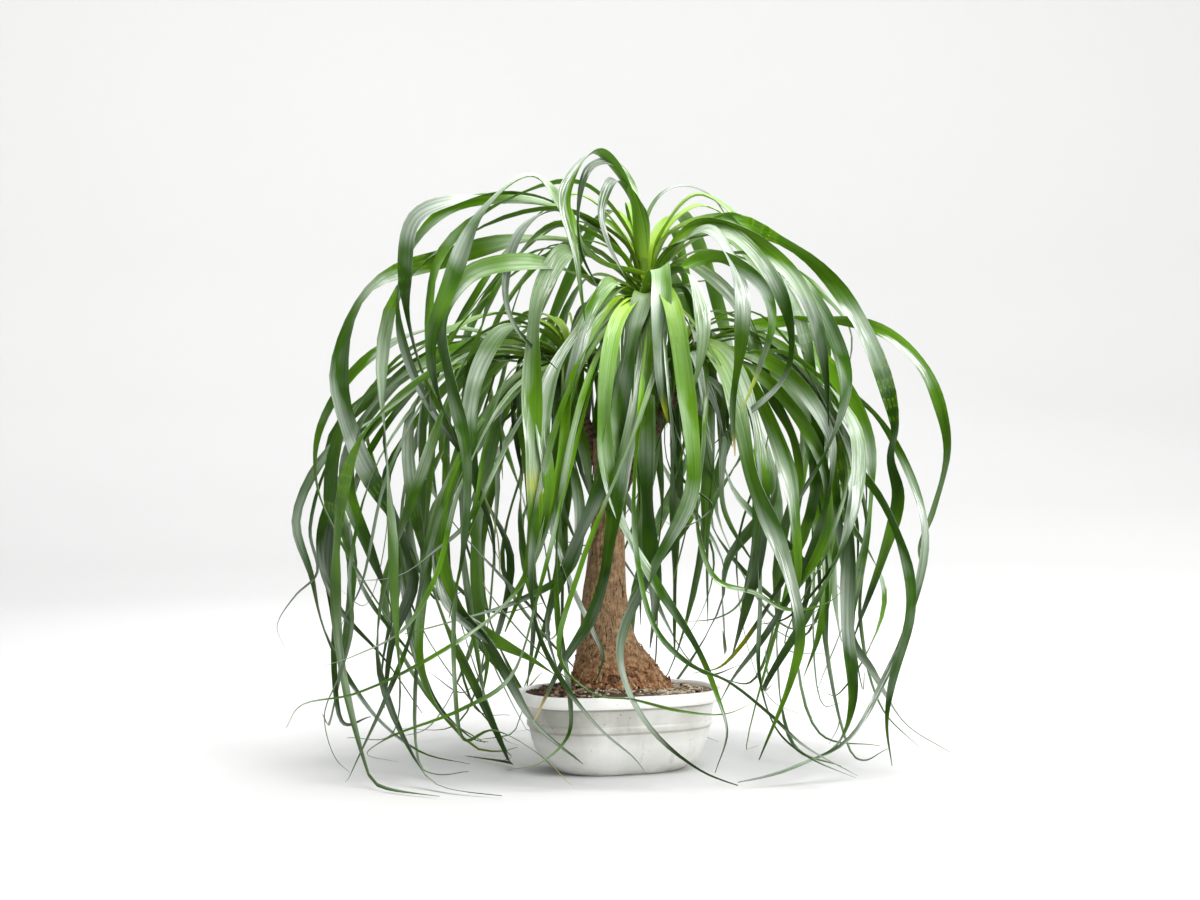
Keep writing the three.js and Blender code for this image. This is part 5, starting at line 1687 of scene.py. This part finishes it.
class PotSettings(bpy.types.PropertyGroup):
    length: length_property("Length", "Length of the pot over its rim", 206)
    width: length_property("Width", "Width of the pot over its rim", 134)
    height: length_property("Height", "Height of the rim", 80)
    turn: FloatProperty(
        name="Turn", description="Turn of the long side", default=math.radians(18), subtype="ANGLE",
    )
    plastic_color: color_property("Plastic", "Clean moulded plastic", "#f1f1ee")
    # The dust colour and the dust share also paint the shade on the body under the rim and on its left side
    dust_color: color_property("Dust", "Film of dust on the body", "#a6a59b")
    dust: FloatProperty(name="Dust", description="Share of the dust film", default=1.0, min=0, max=1)
    # The stain colour also paints the shadow lines in the step and under the rim
    stain_and_shade_color: color_property("Stain", "Runs and settled grime", "#8d8473")
    speck_color: color_property("Speck", "Splashes of soil", "#5a4a3a")


class SoilSettings(bpy.types.PropertyGroup):
    level: length_property("Level", "Height of the soil at the wall", 76)
    heap: length_property("Heap", "Rise of the soil at the trunk", 10)
    chips: count_property("Chips", "Chips and grit on the soil", 880)
    seed: seed_property("Seed of the chips' places", 5)
    humus_color: color_property("Humus", "Dark damp humus", "#2a1e17")
    crumb_color: color_property("Crumbs", "Drier crumbs", "#5b4636")
    dust_color: color_property("Dust", "Dried grit and dust", "#a08a72")
    chip_color: color_property("Chips", "Bark chips", "#6d4b34")
    pale_color: color_property("Grit", "Palest grit and straw", "#d8c9b0")


class TrunkSettings(bpy.types.PropertyGroup):
    flakes: count_property("Flakes", "Flakes of loose bark on the base", 900)
    seed: seed_property("Seed of the bark and of the flakes' places", 17)
    bark_color: color_property("Bark", "Bark of the upright stem", "#886b4f")
    base_color: color_property("Base", "Redder bark of the swollen base", "#85522e")
    worn_color: color_property("Worn", "High worn plates", "#bf9c74")
    straw_color: color_property("Straw", "Palest shreds at the foot", "#d9bd93")
    # The fissure colour is also the painted shade deep in the bark's fissures
    fissure_and_shade_color: color_property("Fissure", "Depth of the fissures", "#33200f")
    # The branch colour is younger bark darkened as painted shade under the leaves
    branch_bark_and_shade_color: color_property("Branch", "Younger bark of the branches", "#30281a")
    stump_color: color_property("Stump", "Weathered end grain", "#4e4038")


class LeafSettings(bpy.types.PropertyGroup):
    top_leaves: count_property("Top leaves", "Leaves by rule on the top head", 29)
    left_leaves: count_property("Left leaves", "Leaves by rule on the left head", 21)
    right_leaves: count_property("Right leaves", "Leaves by rule on the right head", 19)
    top_full: count_property("Broad top leaves", "First leaves that are never slim", 18)
    left_full: count_property("Broad left leaves", "First leaves that are never slim", 14)
    right_full: count_property("Broad right leaves", "First leaves that are never slim", 14)
    inner: count_property("Inner leaves", "Short old leaves under each head", 26)
    leaf_color: color_property("Leaf", "Grown leaf", "#3a640b")
    old_color: color_property("Old leaf", "Oldest and darkest leaf", "#213a07")
    fresh_color: color_property("Fresh leaf", "Half grown leaf", "#72a716")
    young_color: color_property("Young leaf", "Leaf at its root", "#b4d63c")
    yellow_color: color_property("Yellow band", "Band that has yellowed", "#8c9a0c")
    under_color: color_property("Underside", "Greyer underside", "#587a38")
    # Colours of the painted reflection of the sky and of the painted sun glints
    painted_reflection_color: color_property("Silver", "Sky mirrored in the wax", "#d9e0da")
    painted_glint_color: color_property("Glint", "Sun mirrored in the wax", "#fbfdfb")
    dry_color: color_property("Dry tip", "Dried straw tip", "#b09c62")


class StageSettings(bpy.types.PropertyGroup):
    floor_color: color_property("Floor", "Pale studio sweep", "#cdcdcc")
    sky_color: color_property("Sky", "Soft daylight", "#f4f8ff")
    sky_strength: FloatProperty(
        name="Sky strength", description="Strength of the daylight", default=0.24, min=0,
    )
    panel_power: FloatProperty(
        name="Panel power", description="Power of the main panel", default=80, min=0, unit="POWER",
    )


class PALM_OT_stage(bpy.types.Operator):
    """Makes the pale sweep, the soft light and the camera"""
    bl_idname = "palm.stage"
    bl_label = "Stage"

    def execute(self, context):
        make_stage(context.scene.palm_stage)
        return {"FINISHED"}


class PALM_OT_pot(bpy.types.Operator):
    """Makes the moulded pot"""
    bl_idname = "palm.pot"
    bl_label = "Pot"

    def execute(self, context):
        make_pot(context.scene.palm_pot)
        return {"FINISHED"}


class PALM_OT_soil(bpy.types.Operator):
    """Makes the soil with its chips and grit"""
    bl_idname = "palm.soil"
    bl_label = "Soil"

    def execute(self, context):
        make_soil(context.scene.palm_soil, context.scene.palm_pot)
        make_chips(context.scene.palm_soil, context.scene.palm_pot)
        return {"FINISHED"}


class PALM_OT_trunk(bpy.types.Operator):
    """Makes the trunk with its stump and branches"""
    bl_idname = "palm.trunk"
    bl_label = "Trunk"

    def execute(self, context):
        look = context.scene.palm_trunk
        noise.seed_set(look.seed)
        make_trunk(look)
        make_flakes(look)
        return {"FINISHED"}


class PALM_OT_leaves(bpy.types.Operator):
    """Makes the leaves of the three heads"""
    bl_idname = "palm.leaves"
    bl_label = "Leaves"

    def execute(self, context):
        for name in HEADS:
            make_leaves(context.scene.palm_leaves, context.scene.palm_pot, name)
        return {"FINISHED"}


class PALM_PT_panel(bpy.types.Panel):
    """Lists the pieces of the palm"""
    bl_idname = "PALM_PT_panel"
    bl_label = "Potted ponytail palm"
    bl_space_type = "VIEW_3D"
    bl_region_type = "UI"
    bl_category = "Palm"

    def draw(self, context):
        for operator, settings in PIECES:
            box = self.layout.box()
            box.operator(operator.bl_idname)
            group = getattr(context.scene, settings)
            for name in group.bl_rna.properties.keys():
                if name not in {"rna_type", "name"}:
                    box.prop(group, name)


SETTINGS = {
    "palm_stage": StageSettings,
    "palm_pot": PotSettings,
    "palm_soil": SoilSettings,
    "palm_trunk": TrunkSettings,
    "palm_leaves": LeafSettings,
}
PIECES = [
    (PALM_OT_stage, "palm_stage"),
    (PALM_OT_pot, "palm_pot"),
    (PALM_OT_soil, "palm_soil"),
    (PALM_OT_trunk, "palm_trunk"),
    (PALM_OT_leaves, "palm_leaves"),
]
CLASSES = [*SETTINGS.values(), *(operator for operator, _ in PIECES), PALM_PT_panel]


def register():
    for kind in CLASSES:
        bpy.utils.register_class(kind)
    for name, kind in SETTINGS.items():
        setattr(bpy.types.Scene, name, PointerProperty(type=kind))


def unregister():
    for name in SETTINGS:
        delattr(bpy.types.Scene, name)
    for kind in reversed(CLASSES):
        bpy.utils.unregister_class(kind)


def main():
    register()
    bpy.ops.palm.stage()
    bpy.ops.palm.pot()
    bpy.ops.palm.soil()
    bpy.ops.palm.trunk()
    bpy.ops.palm.leaves()


if __name__ == "__main__":
    main()
